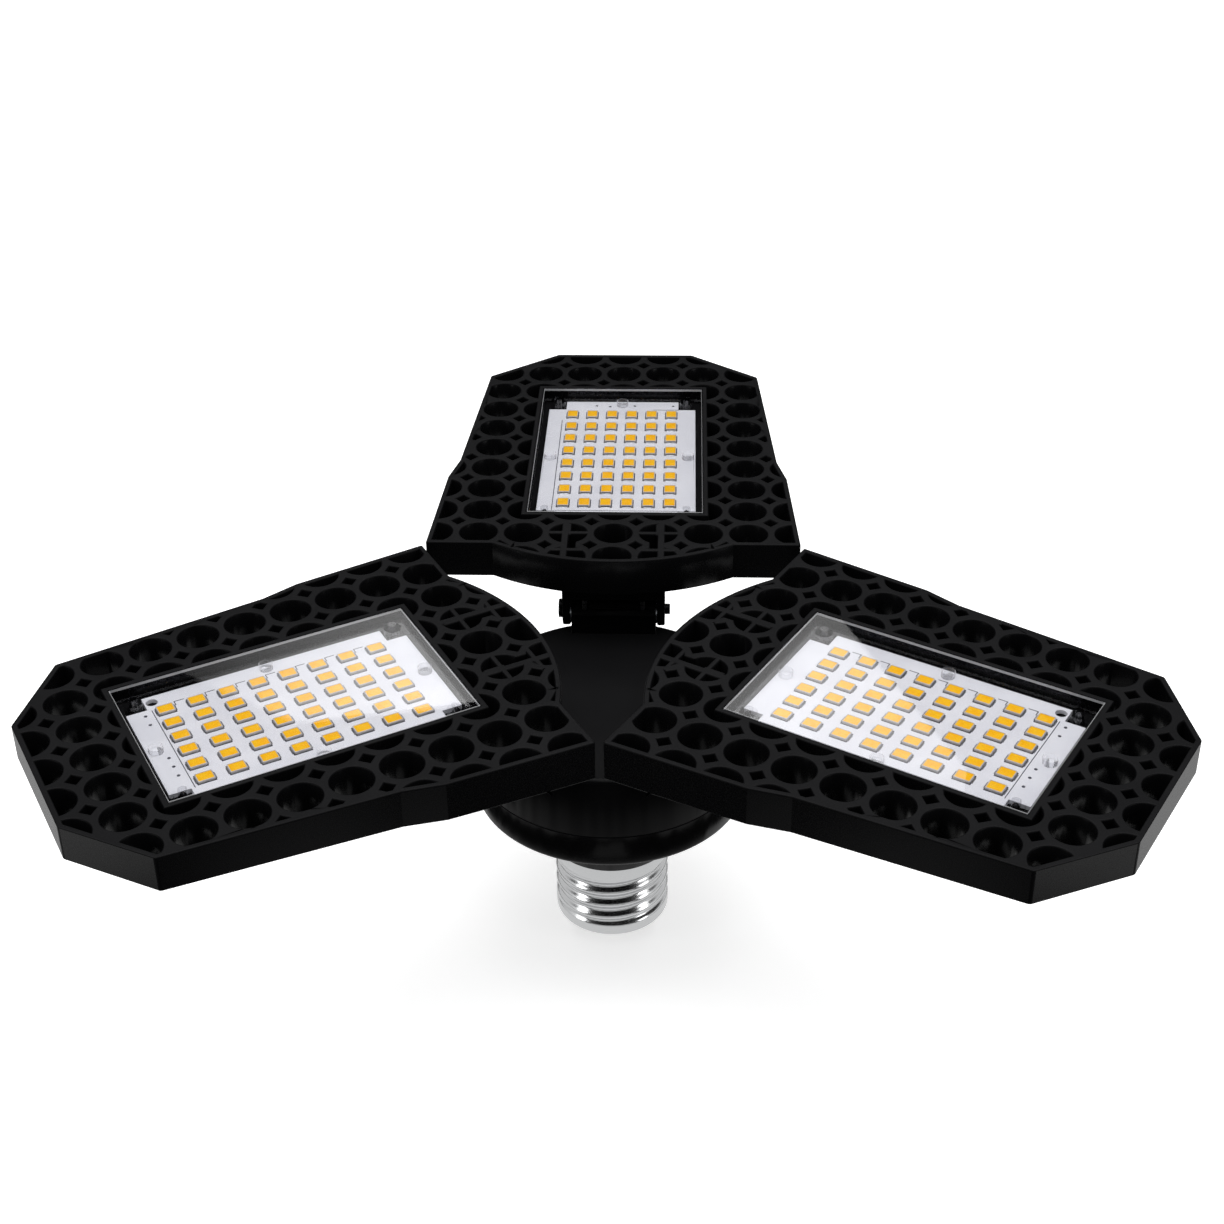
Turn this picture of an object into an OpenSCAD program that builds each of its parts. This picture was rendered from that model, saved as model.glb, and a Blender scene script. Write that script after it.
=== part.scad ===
// Deformable garage light: a screw-base lamp with three honeycomb panels that fold on hinges.
// Z points up along the screw base. The tip of the centre contact is the origin.
// Each panel is drawn lying level, with +Y pointing outward and its top face at z = 0,
// and is then turned to its place round the hub.

/* [Screw base] */
// Outer diameter of the screw shell over the thread crests
shell_d = 26.4; // [25:0.1:27.5]
// Depth of the rolled thread, from crest to root
thread_depth = 1.0; // [0.5:0.1:1.4]
// Distance from one thread groove to the next
thread_pitch = 3.629; // [3:0.001:4.2]
// Number of grooves rolled into the shell
thread_grooves = 4; // [3:1:4]
// Thickness of the shell's sheet metal
shell_wall = 0.35; // [0.25:0.05:0.6]
// Length of the shell, from its lower lip to the housing
shell_len = 21.0; // [19:0.1:24]
// Height of the glassy insulator that shows under the shell
insulator_h = 3.5; // [2:0.1:4.5]
// Height that the centre contact stands below the insulator
contact_h = 2.0; // [1.5:0.1:3]
// Diameter of the centre contact
contact_d = 9.4; // [7:0.1:10.5]

/* [Housing and hub] */
// Diameter of the round hub
hub_d = 61.8; // [58:0.2:66]
// Height of the hub body, from the parting line to its flat top
hub_h = 15.1; // [13:0.1:20]
// Height of the straight rim of the driver housing below the parting line
rim_h = 8.1; // [6:0.1:12]
// Height of the cone under the rim
cone_h = 7.4; // [6:0.1:9]
// Length of the neck between the cone and the screw shell
neck_h = 7.5; // [5:0.1:9]
// Diameter of that neck
neck_d = 29.6; // [28.6:0.1:34]
// Wall thickness of the housing and the hub
wall = 1.9; // [1.5:0.1:2.4]
// Radius of the rounded edges of the hub and the rim
edge_r = 1.1; // [0.6:0.1:1.6]
// Circle on which the three housing screws sit
housing_screw_pcd = 50; // [48:0.5:51]
// Shank diameter of the housing screws
housing_screw_d = 3.0; // [2.5:0.1:3.5]

/* [Driver] */
// Diameter of the round driver board
driver_board_d = 40; // [36:0.5:42]
// Thickness of the driver board
driver_board_t = 1.6; // [1:0.1:2]
// Diameter of the smoothing capacitor, which lies on its side
capacitor_d = 8; // [6:0.5:9]
// Length of the smoothing capacitor
capacitor_len = 15; // [10:0.5:16]
// Side of the transformer's square core
transformer_w = 13; // [10:0.5:14]
// Height of the transformer
transformer_h = 9; // [6:0.5:9.5]

/* [Panel] */
// Length of a panel, from its straight inner edge to its outer edge
panel_len = 99.3; // [97:0.1:106]
// Half width of a panel at its inner edge
inner_half_w = 42.8; // [42:0.1:43.1]
// Half width below the step in the side
step_in_half_w = 40.9; // [40:0.1:42]
// Half width above the step in the side
step_out_half_w = 38.8; // [37.5:0.1:39.8]
// Half width at the shoulder, where the outer chamfer starts
shoulder_half_w = 35.3; // [34:0.1:37]
// Half width of the outer edge
tip_half_w = 18; // [14:0.5:24]
// Distance of the step's inner end from the inner edge
step_start = 31; // [28:0.5:33]
// Distance of the step's outer end from the inner edge
step_end = 39.5; // [36:0.5:44]
// Distance of the shoulder from the inner edge
shoulder_at = 86; // [84:0.5:90]
// How far the rounded middle of the inner edge bulges towards the hub's axis
bulge = 7.8; // [6.5:0.1:8.5]
// Half width of that bulge
bulge_half_w = 27.5; // [24:0.5:32]
// Thickness of a panel at its inner edge
panel_t = 9.0; // [8:0.1:11]
// Thickness of a panel at its outer edge
tip_t = 7.7; // [7:0.1:8]
// Distance from the hub's axis to the straight inner edge of a panel
panel_start_r = 25.5; // [25.4:0.1:27]
// Gap between the hub's flat top and a panel's lower face
hub_gap = 15.4; // [14.5:0.1:18]

/* [Honeycomb] */
// Distance from one round cell to the next, both ways
cell_pitch = 10.36; // [10.1:0.02:10.6]
// Diameter of a round cell
cell_d = 8.6; // [8:0.1:8.8]
// Width over the corners of a diamond cell
diamond_w = 3.2; // [2.6:0.1:3.4]
// Distance of the first row of round cells from the inner edge
first_row = 4.8; // [4.6:0.1:5.2]
// Width of the plain rim round the panel
rim_t = 1.3; // [1:0.1:1.8]

/* [Window] */
// Width of the light window
window_w = 41.4; // [40:0.1:42]
// Length of the light window
window_len = 64.6; // [58:0.1:65]
// Distance of the window from the inner edge
window_start = 14.4; // [14:0.1:15]
// Width of the plain rim round the window
window_rim = 1.3; // [1:0.1:1.6]
// Gap between the light board and the long sides of the window
board_side_gap = 1.7; // [1.2:0.1:2.4]
// Gap between the light board and the ends of the window
board_end_gap = 1.6; // [1.2:0.1:2.4]
// Thickness of the clear cover
cover_t = 1.8; // [1.2:0.1:2]
// How far the cover lies below the panel's top face
cover_inset = 0.1; // [0:0.05:0.4]
// Gap all round the cover
cover_gap = 0.15; // [0.1:0.05:0.3]
// Diameter of the cover's spacer pegs
peg_d = 3.0; // [2:0.1:3.4]
// Distance from the panel's top face down to the light board
board_depth = 3.2; // [3.1:0.1:3.8]
// Thickness of the light board
board_t = 1.0; // [0.8:0.1:1.2]
// Thickness of the panel's floor under the light board
floor_t = 1.4; // [1.1:0.1:1.8]

/* [Light board] */
// Side of the square notch in each corner of the board
notch = 4.4; // [4:0.1:5]
// Light packages across the board
led_columns = 6; // [4:1:6]
// Light packages along the board
led_rows = 8; // [5:1:8]
// Distance between packages across the board
led_pitch_x = 5.1; // [4.4:0.1:5.4]
// Distance between packages along the board
led_pitch_y = 6.55; // [5.5:0.05:6.6]
// Width of one package
led_w = 2.8; // [2.4:0.1:3]
// Length of one package
led_len = 3.5; // [3:0.1:3.7]
// Height of one package
led_h = 0.8; // [0.5:0.05:0.9]
// Diameter of the clear posts at the cover's corners, which take its screws
post_d = 3.8; // [3.2:0.1:4]
// Shank diameter of those screws
cover_screw_d = 1.8; // [1.4:0.1:2]

/* [Hinge] */
// Distance from the hub's axis to the hinge axis
hinge_r = 29.6; // [29:0.1:30.4]
// Distance from a panel's top face down to the hinge axis
hinge_drop = 20.2; // [19.4:0.1:20.4]
// Radius of the panel's knuckles
knuckle_r = 3.9; // [3.4:0.1:4]
// Overall width of a panel's pair of knuckles
knuckle_span = 23.9; // [22:0.1:26]
// Thickness of one knuckle
knuckle_t = 1.8; // [1.4:0.1:2.6]
// Radius of the rounded head of the hub's lug
lug_r = 3.8; // [3.3:0.1:3.9]
// Diameter of the hinge bolt
bolt_d = 2.5; // [2:0.1:2.8]
// Radial clearance between the bolt and its bores
bolt_clear = 0.05; // [0.02:0.01:0.1]
// Thickness of the friction washers
washer_t = 0.3; // [0.2:0.05:0.6]
// Side play between the washers and the lug
side_play = 0.05; // [0.03:0.01:0.15]
// Diameter of the bolt's head
bolt_head_d = 4.4; // [4:0.1:5.5]
// Thickness of the bolt's head
bolt_head_t = 1.0; // [0.8:0.1:1.6]
// How far the bolt's threaded end stands out of the far knuckle
bolt_tail = 1.2; // [0.5:0.1:2]

/* [Leads] */
// Diameter of an insulated lead
lead_d = 1.2; // [0.8:0.1:1.3]
// Distance of a panel's leads from the middle of its hinge
lead_x = 6.75; // [6.2:0.05:7.5]

/* [Hidden] */
$fn = 48;
panel_names = ["rear", "left", "right"];
panel_angles = [0, 120, 240];
eps = 0.01;

// Screw base
shell_r = shell_d / 2;
lip_r = shell_r * 0.8;
contact_fillet = contact_h * 0.6;
contact_land = 0.8;
insulator_plug_h = 2.4;
thread_start = 1.2;
thread_steps = 8;

// Heights along the screw base
shell_z = contact_h + insulator_h;
shell_top = shell_z + shell_len;
cone_z = shell_top + neck_h;
rim_z = cone_z + cone_h;
parting_z = rim_z + rim_h;
hub_top = parting_z + hub_h;
panel_top = hub_top + hub_gap + panel_t;
hub_r = hub_d / 2;
neck_r = neck_d / 2;
shell_clear = 0.1;
spigot_r = shell_r - shell_wall - shell_clear;
spigot_h = 4.5;

// Housing and driver
neck_flare = 2;
cone_foot_r = neck_r + neck_flare;
neck_slope = 0.6;
least_rounding = 0.2;
lap_h = 2;
lap_clear = 0.15;
housing_screw_turn = 60;
boss_wall = 1.7;
boss_r = housing_screw_d / 2 + boss_wall;
screw_clear = 0.15;
screw_head_r = housing_screw_d;
screw_head_h = 2;
housing_screw_len = 14;
screw_floor_t = 2.4;
housing_screw_seat = rim_z + screw_floor_t;
driver_rise = 0.6;
driver_z = parting_z + driver_rise;
driver_top = driver_z + driver_board_t;
driver_post_inset = 3;
driver_post_pcd = driver_board_d - 2 * driver_post_inset;
driver_post_r = 2.4;
driver_screw_r = 1;
driver_screw_depth = 5;
driver_screw_play = 0.5;
driver_screw_head = [1.9, 1.3];

// Components on the driver board: place on the board, then size
capacitor_y = -9;
transformer_x = -1;
winding_inset = 0.15;
flange_share = 0.3;
rectifier_at = [8, -3];
rectifier_size = [6, 5, 2.6];
fuse_at = [-14, -2];
fuse_size = [3.2, 7];
film_at = [6.6, 4];
film_size = [8, 4.5, 7];

// Panel heights, from its top face
pocket_z = -board_depth - board_t;
floor_z = pocket_z - floor_t;
cover_bottom = -cover_inset - cover_t;
taper_from = 11;

// Honeycomb
cell_r = cell_d / 2;
least_opening = 0.6;
cell_columns = 4;
cell_rows = floor((panel_len - first_row) / cell_pitch);
bulge_r = (bulge_half_w * bulge_half_w + bulge * bulge) / (2 * bulge);
bulge_centre = bulge_r - bulge;

// Window and light board
board_w = window_w - 2 * board_side_gap;
board_len = window_len - 2 * board_end_gap;
window_mid = window_start + window_len / 2;
post_x = board_w / 2 - notch / 2;
post_y = board_len / 2 - notch / 2;
cover_screw_r = cover_screw_d / 2;
cover_screw_clear = 0.05;
cover_screw_head_r = 1.9;
cover_screw_head_h = 1.2;
cover_screw_grip = 2.6;
cover_skin = 0.9;
cover_boss_r = 3.2;
peg_inset = 0.4;
package_wall = 0.3;
package_end = 0.35;
phosphor_w = led_w - 2 * package_wall;
phosphor_len = led_len - 2 * package_end;
phosphor_h = led_h * 0.5;
phosphor_sunk = 0.05;

// Hinge, in a panel's own frame
hinge_y = hinge_r - panel_start_r;
knuckle_out = knuckle_span / 2;
knuckle_in = knuckle_out - knuckle_t;
lug_half = knuckle_in - washer_t - side_play;
bolt_bore_r = bolt_d / 2 + bolt_clear;
washer_rim = 0.4;
washer_r = lug_r - washer_rim;
lug_foot = 0.8;
lug_front = hinge_y - lug_r - lug_foot;
lug_rise = 2;
lug_shoulder = -hinge_drop + lug_rise;
lug_chamfer = 1;
gusset_h = 9.6;
gusset_sunk = 0.25;
hub_face = -panel_t - hub_gap;
web_front = hinge_y - knuckle_r;
web_back = hinge_y + knuckle_r;
web_lift = 0.6;
web_bottom = -hinge_drop + knuckle_r + web_lift;
web_wall = 1.8;
web_pocket_half = 5;
cross_rib_t = 1.3;
front_rib_gap = 3.3;
front_rib_y = web_front - front_rib_gap;
thin_rib = 1.4;
thin_rib_end = 1;
slot_w = 1.6;

// Leads
lead_drop = 1.2;
lead_meet_z = web_bottom - lead_drop;
lead_meet_gap = 0.2;
lead_r = lead_d / 2;
lead_clear = 0.15;
lead_bore_r = lead_r + lead_clear;
lead_groove_half = lead_bore_r + 0.1;
lead_bend = 2;
lead_wall = 0.9;
lead_y = hinge_y - bolt_bore_r - lead_bore_r - lead_wall;
lead_run_z = -panel_t + lead_bore_r;
lead_reach = 4.4;
lead_end_y = window_start + lead_reach;
lead_edge = 2.5;
lead_start_r = driver_board_d / 2 - lead_edge;
base_lead_x = 4.5;
base_lead_clear = 0.1;

function per_panel(part) = [for (name = panel_names) str(name, "_", part)];

// ---------- Screw base ----------

// Radius of the rolled thread at a height above the shell's lower lip.
// The grooves are one pitch apart, and the first lies one and a quarter pitches up.
function thread_r(z) =
    let (turn = (z - thread_start) / thread_pitch)
    turn < 0 || turn > thread_grooves ? shell_r
    : shell_r - thread_depth * (1 - cos(360 * turn)) / 2;

// Half of the shell's section, from its lower lip to its top, moved inward by inset
function shell_side(inset) = concat(
    [[lip_r - inset, 0]],
    [for (i = [0 : thread_grooves * thread_steps])
        let (z = thread_start + i * thread_pitch / thread_steps)
        [thread_r(z) - inset, z]],
    [[shell_r - inset, shell_len]]);

module screw_shell() {
    outer = shell_side(0);
    inner = shell_side(shell_wall);
    last = len(inner) - 1;
    color("#c9ccd1")
    translate([0, 0, shell_z])
    rotate_extrude()
    polygon(concat(outer, [for (i = [0 : last]) inner[last - i]]));
}

module base_insulator() {
    plug_r = lip_r - shell_wall - shell_clear;
    plug_top = insulator_h + insulator_plug_h;
    color("#17181a")
    translate([0, 0, contact_h])
    difference() {
        rotate_extrude()
        polygon([[0, 0], [contact_d / 2 + contact_land, 0], [plug_r, insulator_h],
                 [plug_r, plug_top], [0, plug_top]]);
        translate([0, 0, -eps]) cylinder(r = lead_bore_r, h = plug_top + 2 * eps);
    }
}

// A flat tip with a rounded edge, soldered round the lead that comes through the insulator
module centre_contact() {
    contact_r = contact_d / 2;
    color("#b9bcc0")
    rotate_extrude() {
        square([contact_r - contact_fillet, contact_h]);
        translate([0, contact_fillet]) square([contact_r, contact_h - contact_fillet]);
        intersection() {
            translate([contact_r - contact_fillet, contact_fillet]) circle(contact_fillet);
            square([contact_r, contact_fillet]);
        }
    }
}

// ---------- Housing and hub ----------

module at_thirds(radius, turn = 0) {
    for (a = panel_angles) rotate([0, 0, a + turn]) translate([0, radius, 0]) children();
}

// Solid section of the housing, moved inward by inset
module housing_section(inset) {
    rounding = max(edge_r - inset, least_rounding);
    r = hub_r - inset;
    polygon([[0, shell_top + inset], [neck_r - inset, shell_top + inset],
             [neck_r - inset, cone_z + inset * neck_slope], [cone_foot_r - inset, cone_z + inset],
             [r - rounding, rim_z + inset], [r - rounding, parting_z], [0, parting_z]]);
    translate([r - 2 * rounding, rim_z + inset + rounding])
        square([2 * rounding, rim_h - inset - rounding]);
    translate([r - rounding, rim_z + inset + rounding]) circle(rounding);
}

module housing_hollow() {
    rotate_extrude() {
        housing_section(wall);
        translate([0, parting_z - eps]) square([hub_r - wall, 2 * eps]);
    }
}

module driver_housing() {
    color("#141517")
    difference() {
        union() {
            difference() {
                rotate_extrude() housing_section(0);
                housing_hollow();
            }
            intersection() {
                rotate_extrude() housing_section(eps);
                union() {
                    at_thirds(housing_screw_pcd / 2, housing_screw_turn)
                        cylinder(r = boss_r, h = parting_z);
                    at_thirds(driver_post_pcd / 2) cylinder(r = driver_post_r, h = parting_z);
                }
            }
            translate([0, 0, parting_z - eps])
                at_thirds(driver_post_pcd / 2)
                cylinder(r = driver_post_r, h = driver_z - parting_z + eps);
            // Spigot inside the screw shell, and the lap inside the hub body
            translate([0, 0, shell_top - spigot_h]) cylinder(r = spigot_r, h = spigot_h + wall);
            translate([0, 0, parting_z - lap_h]) housing_lap();
        }
        translate([0, 0, shell_top - spigot_h - eps])
            cylinder(r = spigot_r - wall, h = spigot_h + wall + 2 * eps + neck_h);
        at_thirds(housing_screw_pcd / 2, housing_screw_turn) {
            cylinder(r = housing_screw_d / 2 + screw_clear, h = parting_z + eps);
            cylinder(r = screw_head_r + screw_clear, h = housing_screw_seat);
        }
        at_thirds(driver_post_pcd / 2)
            translate([0, 0, driver_z - driver_screw_depth])
            cylinder(r = driver_screw_r + bolt_clear, h = driver_screw_depth + eps);
    }
}

// A thin ring that stands up from the housing and centres the hub body
module housing_lap() {
    ring_r = hub_r - wall - lap_clear;
    difference() {
        union() {
            cylinder(r = hub_r - wall / 2, h = lap_h);
            cylinder(r = ring_r, h = 2 * lap_h);
        }
        translate([0, 0, -eps]) cylinder(r = ring_r - wall, h = 2 * lap_h + 2 * eps);
        at_thirds(housing_screw_pcd / 2, housing_screw_turn)
            translate([0, 0, lap_h]) cylinder(r = boss_r + lap_clear, h = lap_h + eps);
    }
}

// Side view of a hub lug in a panel's frame: a round head over a block that stands on the hub's
// flat top and runs down the hub's wall as a gusset
module lug_side() {
    foot_z = hub_face - wall / 2;
    wall_y = sqrt(pow(hub_r, 2) - pow(lug_half, 2)) - panel_start_r - gusset_sunk;
    back = hinge_y + lug_r;
    translate([hinge_y, -hinge_drop]) circle(lug_r);
    polygon([[lug_front, foot_z], [lug_front, lug_shoulder - lug_chamfer],
             [lug_front + lug_chamfer, lug_shoulder], [hinge_y, lug_shoulder],
             [hinge_y, -hinge_drop], [back, -hinge_drop], [back, hub_face - lug_chamfer],
             [wall_y, hub_face - gusset_h], [wall_y, foot_z]]);
}

module hub_body() {
    color("#15161a")
    difference() {
        union() {
            difference() {
                rotate_extrude() {
                    translate([0, parting_z]) square([hub_r, hub_h - edge_r]);
                    translate([0, hub_top - edge_r]) square([hub_r - edge_r, edge_r]);
                    translate([hub_r - edge_r, hub_top - edge_r]) circle(edge_r);
                }
                translate([0, 0, parting_z - edge_r])
                    cylinder(r = hub_r - wall, h = hub_h + edge_r - wall);
            }
            at_thirds(housing_screw_pcd / 2, housing_screw_turn)
                translate([0, 0, parting_z])
                cylinder(r = boss_r, h = hub_h - wall / 2);
            for (i = [0 : 2]) on_panel(i) across(2 * lug_half) lug_side();
        }
        at_thirds(housing_screw_pcd / 2, housing_screw_turn)
            translate([0, 0, parting_z - eps])
            cylinder(r = housing_screw_d / 2 + bolt_clear,
                     h = housing_screw_seat + housing_screw_len - parting_z + screw_clear);
        for (i = [0 : 2]) on_panel(i) {
            across(2 * knuckle_out) translate([hinge_y, -hinge_drop]) circle(bolt_bore_r);
            beside() translate([lead_x, lead_y, hub_face - wall - eps])
                cylinder(r = lead_bore_r, h = lead_meet_z - hub_face + wall + eps);
        }
    }
}

module housing_screws() {
    color("#8f9296")
    at_thirds(housing_screw_pcd / 2, housing_screw_turn) {
        translate([0, 0, housing_screw_seat - eps])
            cylinder(r = housing_screw_d / 2, h = housing_screw_len + eps);
        translate([0, 0, housing_screw_seat - screw_head_h])
            cylinder(r = screw_head_r, h = screw_head_h);
    }
}

// ---------- Driver ----------

module driver_board() {
    color("#2f6b46")
    difference() {
        translate([0, 0, driver_z]) cylinder(d = driver_board_d, h = driver_board_t);
        at_thirds(driver_post_pcd / 2) cylinder(r = driver_screw_r + screw_clear, h = hub_top);
    }
}

module driver_board_screws() {
    shank = driver_screw_depth - driver_screw_play + driver_board_t;
    color("#b5b8bc")
    at_thirds(driver_post_pcd / 2) {
        translate([0, 0, driver_top - shank]) cylinder(r = driver_screw_r, h = shank + eps);
        translate([0, 0, driver_top]) cylinder(r = driver_screw_head[0], h = driver_screw_head[1]);
    }
}

module smoothing_capacitor() {
    color("#1d2430")
    translate([-capacitor_len / 2, capacitor_y, driver_top + capacitor_d / 2])
        rotate([0, 90, 0]) cylinder(d = capacitor_d, h = capacitor_len);
}

module transformer() {
    flange = [transformer_w, transformer_w, transformer_h * flange_share];
    sunk = transformer_w * winding_inset;
    winding_w = transformer_w - 2 * sunk;
    color("#c79a35")
    translate([transformer_x - transformer_w / 2, 0, driver_top]) {
        cube(flange);
        translate([sunk, sunk, flange[2] / 2]) cube([winding_w, winding_w, transformer_h - flange[2]]);
        translate([0, 0, transformer_h - flange[2]]) cube(flange);
    }
}

module bridge_rectifier() {
    color("#202124")
    translate([rectifier_at[0], rectifier_at[1], driver_top]) cube(rectifier_size);
}

module fuse() {
    color("#a9452f")
    translate([fuse_at[0], fuse_at[1], driver_top + fuse_size[0] / 2])
        rotate([-90, 0, 0]) cylinder(d = fuse_size[0], h = fuse_size[1]);
}

module film_capacitor() {
    color("#a8442c")
    translate([film_at[0], film_at[1], driver_top]) cube(film_size);
}

// Two leads from the driver board: one to the shell, one through the insulator to the contact
module base_leads() {
    shell_joint_x = shell_r - shell_wall - thread_depth - lead_r - base_lead_clear;
    shell_bend_z = shell_top - spigot_h - lead_bend;
    contact_bend_z = shell_z + shell_len / 2;
    color("#b23a32") {
        lead_path([[base_lead_x, driver_z], [base_lead_x, shell_bend_z],
                   [shell_joint_x, shell_bend_z], [shell_joint_x, shell_bend_z - 2 * lead_bend]]);
        lead_path([[-base_lead_x, driver_z], [-base_lead_x, contact_bend_z],
                   [0, contact_bend_z], [0, contact_h]]);
    }
}

// A round lead in the X-Z plane, whose path turns only by right angles
module lead_path(points) {
    last = len(points) - 1;
    function heading(i) = let (d = points[i + 1] - points[i]) atan2(d[1], d[0]);
    function bends(i) = i > 0 && i < last ? 1 : 0;
    function side(i) = sin(heading(i) - heading(i - 1)) > 0 ? 1 : -1;
    rotate([90, 0, 0])
    for (i = [0 : last - 1]) {
        start = lead_bend * bends(i);
        translate(points[i]) rotate([0, 0, heading(i)])
            translate([start, 0, 0]) rotate([0, 90, 0])
            cylinder(r = lead_r, h = norm(points[i + 1] - points[i]) - start
                                     - lead_bend * bends(i + 1));
        if (bends(i) > 0)
            translate(points[i]) rotate([0, 0, heading(i - 1)])
            translate([-lead_bend, side(i) * lead_bend, 0])
            rotate([0, 0, side(i) > 0 ? -90 : 0])
            rotate_extrude(angle = 90) translate([lead_bend, 0]) circle(lead_r);
    }
}

// ---------- Panels ----------

// Places a level panel, drawn with its top face at z = 0 and +Y outward, round the hub
module on_panel(i) {
    rotate([0, 0, panel_angles[i]]) translate([0, panel_start_r, panel_top]) children();
}

// Extrudes a side view, drawn as [y, z], across the panel's width
module across(width) {
    rotate([90, 0, 90]) linear_extrude(width, center = true) children();
}

// Outline corners on one side, from the inner edge to the outer edge
side_points = [[inner_half_w, 0], [step_in_half_w, step_start], [step_out_half_w, step_end],
               [shoulder_half_w, shoulder_at], [tip_half_w, panel_len]];
outline_points = concat(side_points, [for (i = [4 : -1 : 0]) [-side_points[i][0], side_points[i][1]]]);

// Unit normal, pointing inward, of the outline's edge from corner i to the next
function edge_normal(i) =
    let (n = len(outline_points), a = outline_points[i % n], b = outline_points[(i + 1) % n],
         d = (b - a) / norm(b - a))
    [-d[1], d[0]];

// The outline's corners moved inward by d, each along the bisector of its two edges
function inset_points(d) =
    let (n = len(outline_points))
    [for (i = [0 : n - 1])
        let (n1 = edge_normal(i + n - 1), n2 = edge_normal(i))
        outline_points[i] + d * (n1 + n2) / (1 + n1 * n2)];

// Half the panel's width at a distance from its inner edge
function half_w_at(y) = lookup(y, [for (p = side_points) [p[1], p[0]]]);

// Distance from a point to the side of the panel, or to its outer chamfer
function side_room(p) =
    let (room = half_w_at(p[1]) - abs(p[0]),
         run = panel_len - shoulder_at, rise = shoulder_half_w - tip_half_w)
    p[1] < shoulder_at ? room : room * run / norm([run, rise]);

// Where the bulge's rim ends, at a distance x from the panel's middle
function bulge_edge(x) = bulge_centre - sqrt(pow(bulge_r - rim_t, 2) - x * x);

// Distance from a point to the window's rim, less than zero inside it
function window_distance(p) =
    max(abs(p[0]) - window_w / 2 - window_rim,
        abs(p[1] - window_mid) - window_len / 2 - window_rim);

// True where a cell of radius r at p opens at least least_opening inside the rims
function cell_shows(p, r) =
    side_room(p) > rim_t - r + least_opening
    && panel_len - p[1] > rim_t - r + least_opening
    && (p[1] > r || p[1] + r > min(rim_t, bulge_edge(p[0])) + least_opening)
    && (abs(p[0]) < bulge_half_w || p[1] + r > rim_t + least_opening)
    && window_distance(p) > least_opening - r;

module panel_outline(inset) {
    polygon(inset_points(inset));
    intersection() {
        translate([0, bulge_centre]) circle(bulge_r - inset, $fn = 96);
        translate([-step_out_half_w, -bulge]) square([2 * step_out_half_w, bulge + first_row]);
    }
}

module window_shape(grow) {
    translate([-window_w / 2 - grow, window_start - grow])
        square([window_w + 2 * grow, window_len + 2 * grow]);
}

function cell_y(row) = first_row + row * cell_pitch;

module diamond() {
    rotate(45) square(diamond_w * sqrt(0.5), center = true);
}

// All cells outside the window: round ones on the lattice, diamonds between them
module open_cells() {
    for (row = [-1 : cell_rows], column = [-cell_columns : cell_columns]) {
        p = [column * cell_pitch, cell_y(row)];
        if (cell_shows(p, cell_r)) translate(p) circle(cell_r);
    }
    for (row = [-1 : cell_rows], column = [-cell_columns : cell_columns - 1]) {
        p = [(column + 0.5) * cell_pitch, cell_y(row + 0.5)];
        if (cell_shows(p, diamond_w / 2)) translate(p) diamond();
    }
}

module beside() {
    for (side = [0, 1]) mirror([side, 0, 0]) children();
}

// The ribs of the hinge block, which run up through the honeycomb above the knuckles
module hinge_ribs() {
    beside() {
        translate([knuckle_in, -bulge]) square([knuckle_t, bulge + web_back + cross_rib_t]);
        translate([cell_pitch / 2, hinge_y + cross_rib_t / 4]) square([cell_pitch, cross_rib_t]);
        translate([cell_pitch / 2, front_rib_y]) square([cell_pitch, cross_rib_t]);
        translate([cell_pitch - thin_rib / 2, hinge_y])
            square([thin_rib, web_back - hinge_y + thin_rib_end]);
    }
}

// The slots beside those ribs
module hinge_slots() {
    beside()
        translate([knuckle_in - slot_w, front_rib_y + cross_rib_t])
        square([slot_w, hinge_y - front_rib_y]);
}

// The plan of every opening that goes through the panel
module open_plan() {
    difference() {
        intersection() {
            panel_outline(rim_t);
            difference() {
                union() {
                    open_cells();
                    hinge_slots();
                }
                window_shape(window_rim);
            }
        }
        hinge_ribs();
    }
}

// The plan of the shallow cells in the back, behind the light board
module back_plan() {
    rows = floor((window_start + window_len) / cell_pitch);
    difference() {
        intersection() {
            window_shape(window_rim - rim_t);
            union() {
                for (row = [1 : rows], column = [-2 : 2])
                    translate([column * cell_pitch, cell_y(row)]) circle(cell_r);
                for (row = [1 : rows - 1], column = [-2 : 1])
                    translate([(column + 0.5) * cell_pitch, cell_y(row + 0.5)]) diamond();
            }
        }
        cover_screw_places() circle(cover_boss_r);
    }
}

module cover_screw_places() {
    for (x = [-1, 1], y = [-1, 1])
        translate([x * post_x, window_mid + y * post_y]) children();
}

// Side view of the panel's body, which thins towards its outer end
module panel_side() {
    polygon([[-bulge - 1, 0], [-bulge - 1, -panel_t], [taper_from, -panel_t],
             [panel_len + 1, -tip_t], [panel_len + 1, 0]]);
}

// Side view of a knuckle: a round eye under a block as wide as the eye
module knuckle_side() {
    translate([hinge_y, -hinge_drop]) circle(knuckle_r);
    translate([web_front, -hinge_drop]) square([2 * knuckle_r, hinge_drop - panel_t + eps]);
}

// The block between the knuckles, hollow in its middle, which clears the hub's lug
module hinge_web() {
    web_h = -panel_t - web_bottom;
    difference() {
        translate([-knuckle_in - eps, web_front, web_bottom])
            cube([2 * (knuckle_in + eps), 2 * knuckle_r, web_h + eps]);
        translate([-web_pocket_half, web_front + web_wall, web_bottom + web_wall])
            cube([2 * web_pocket_half, 2 * (knuckle_r - web_wall), web_h]);
    }
}

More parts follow.
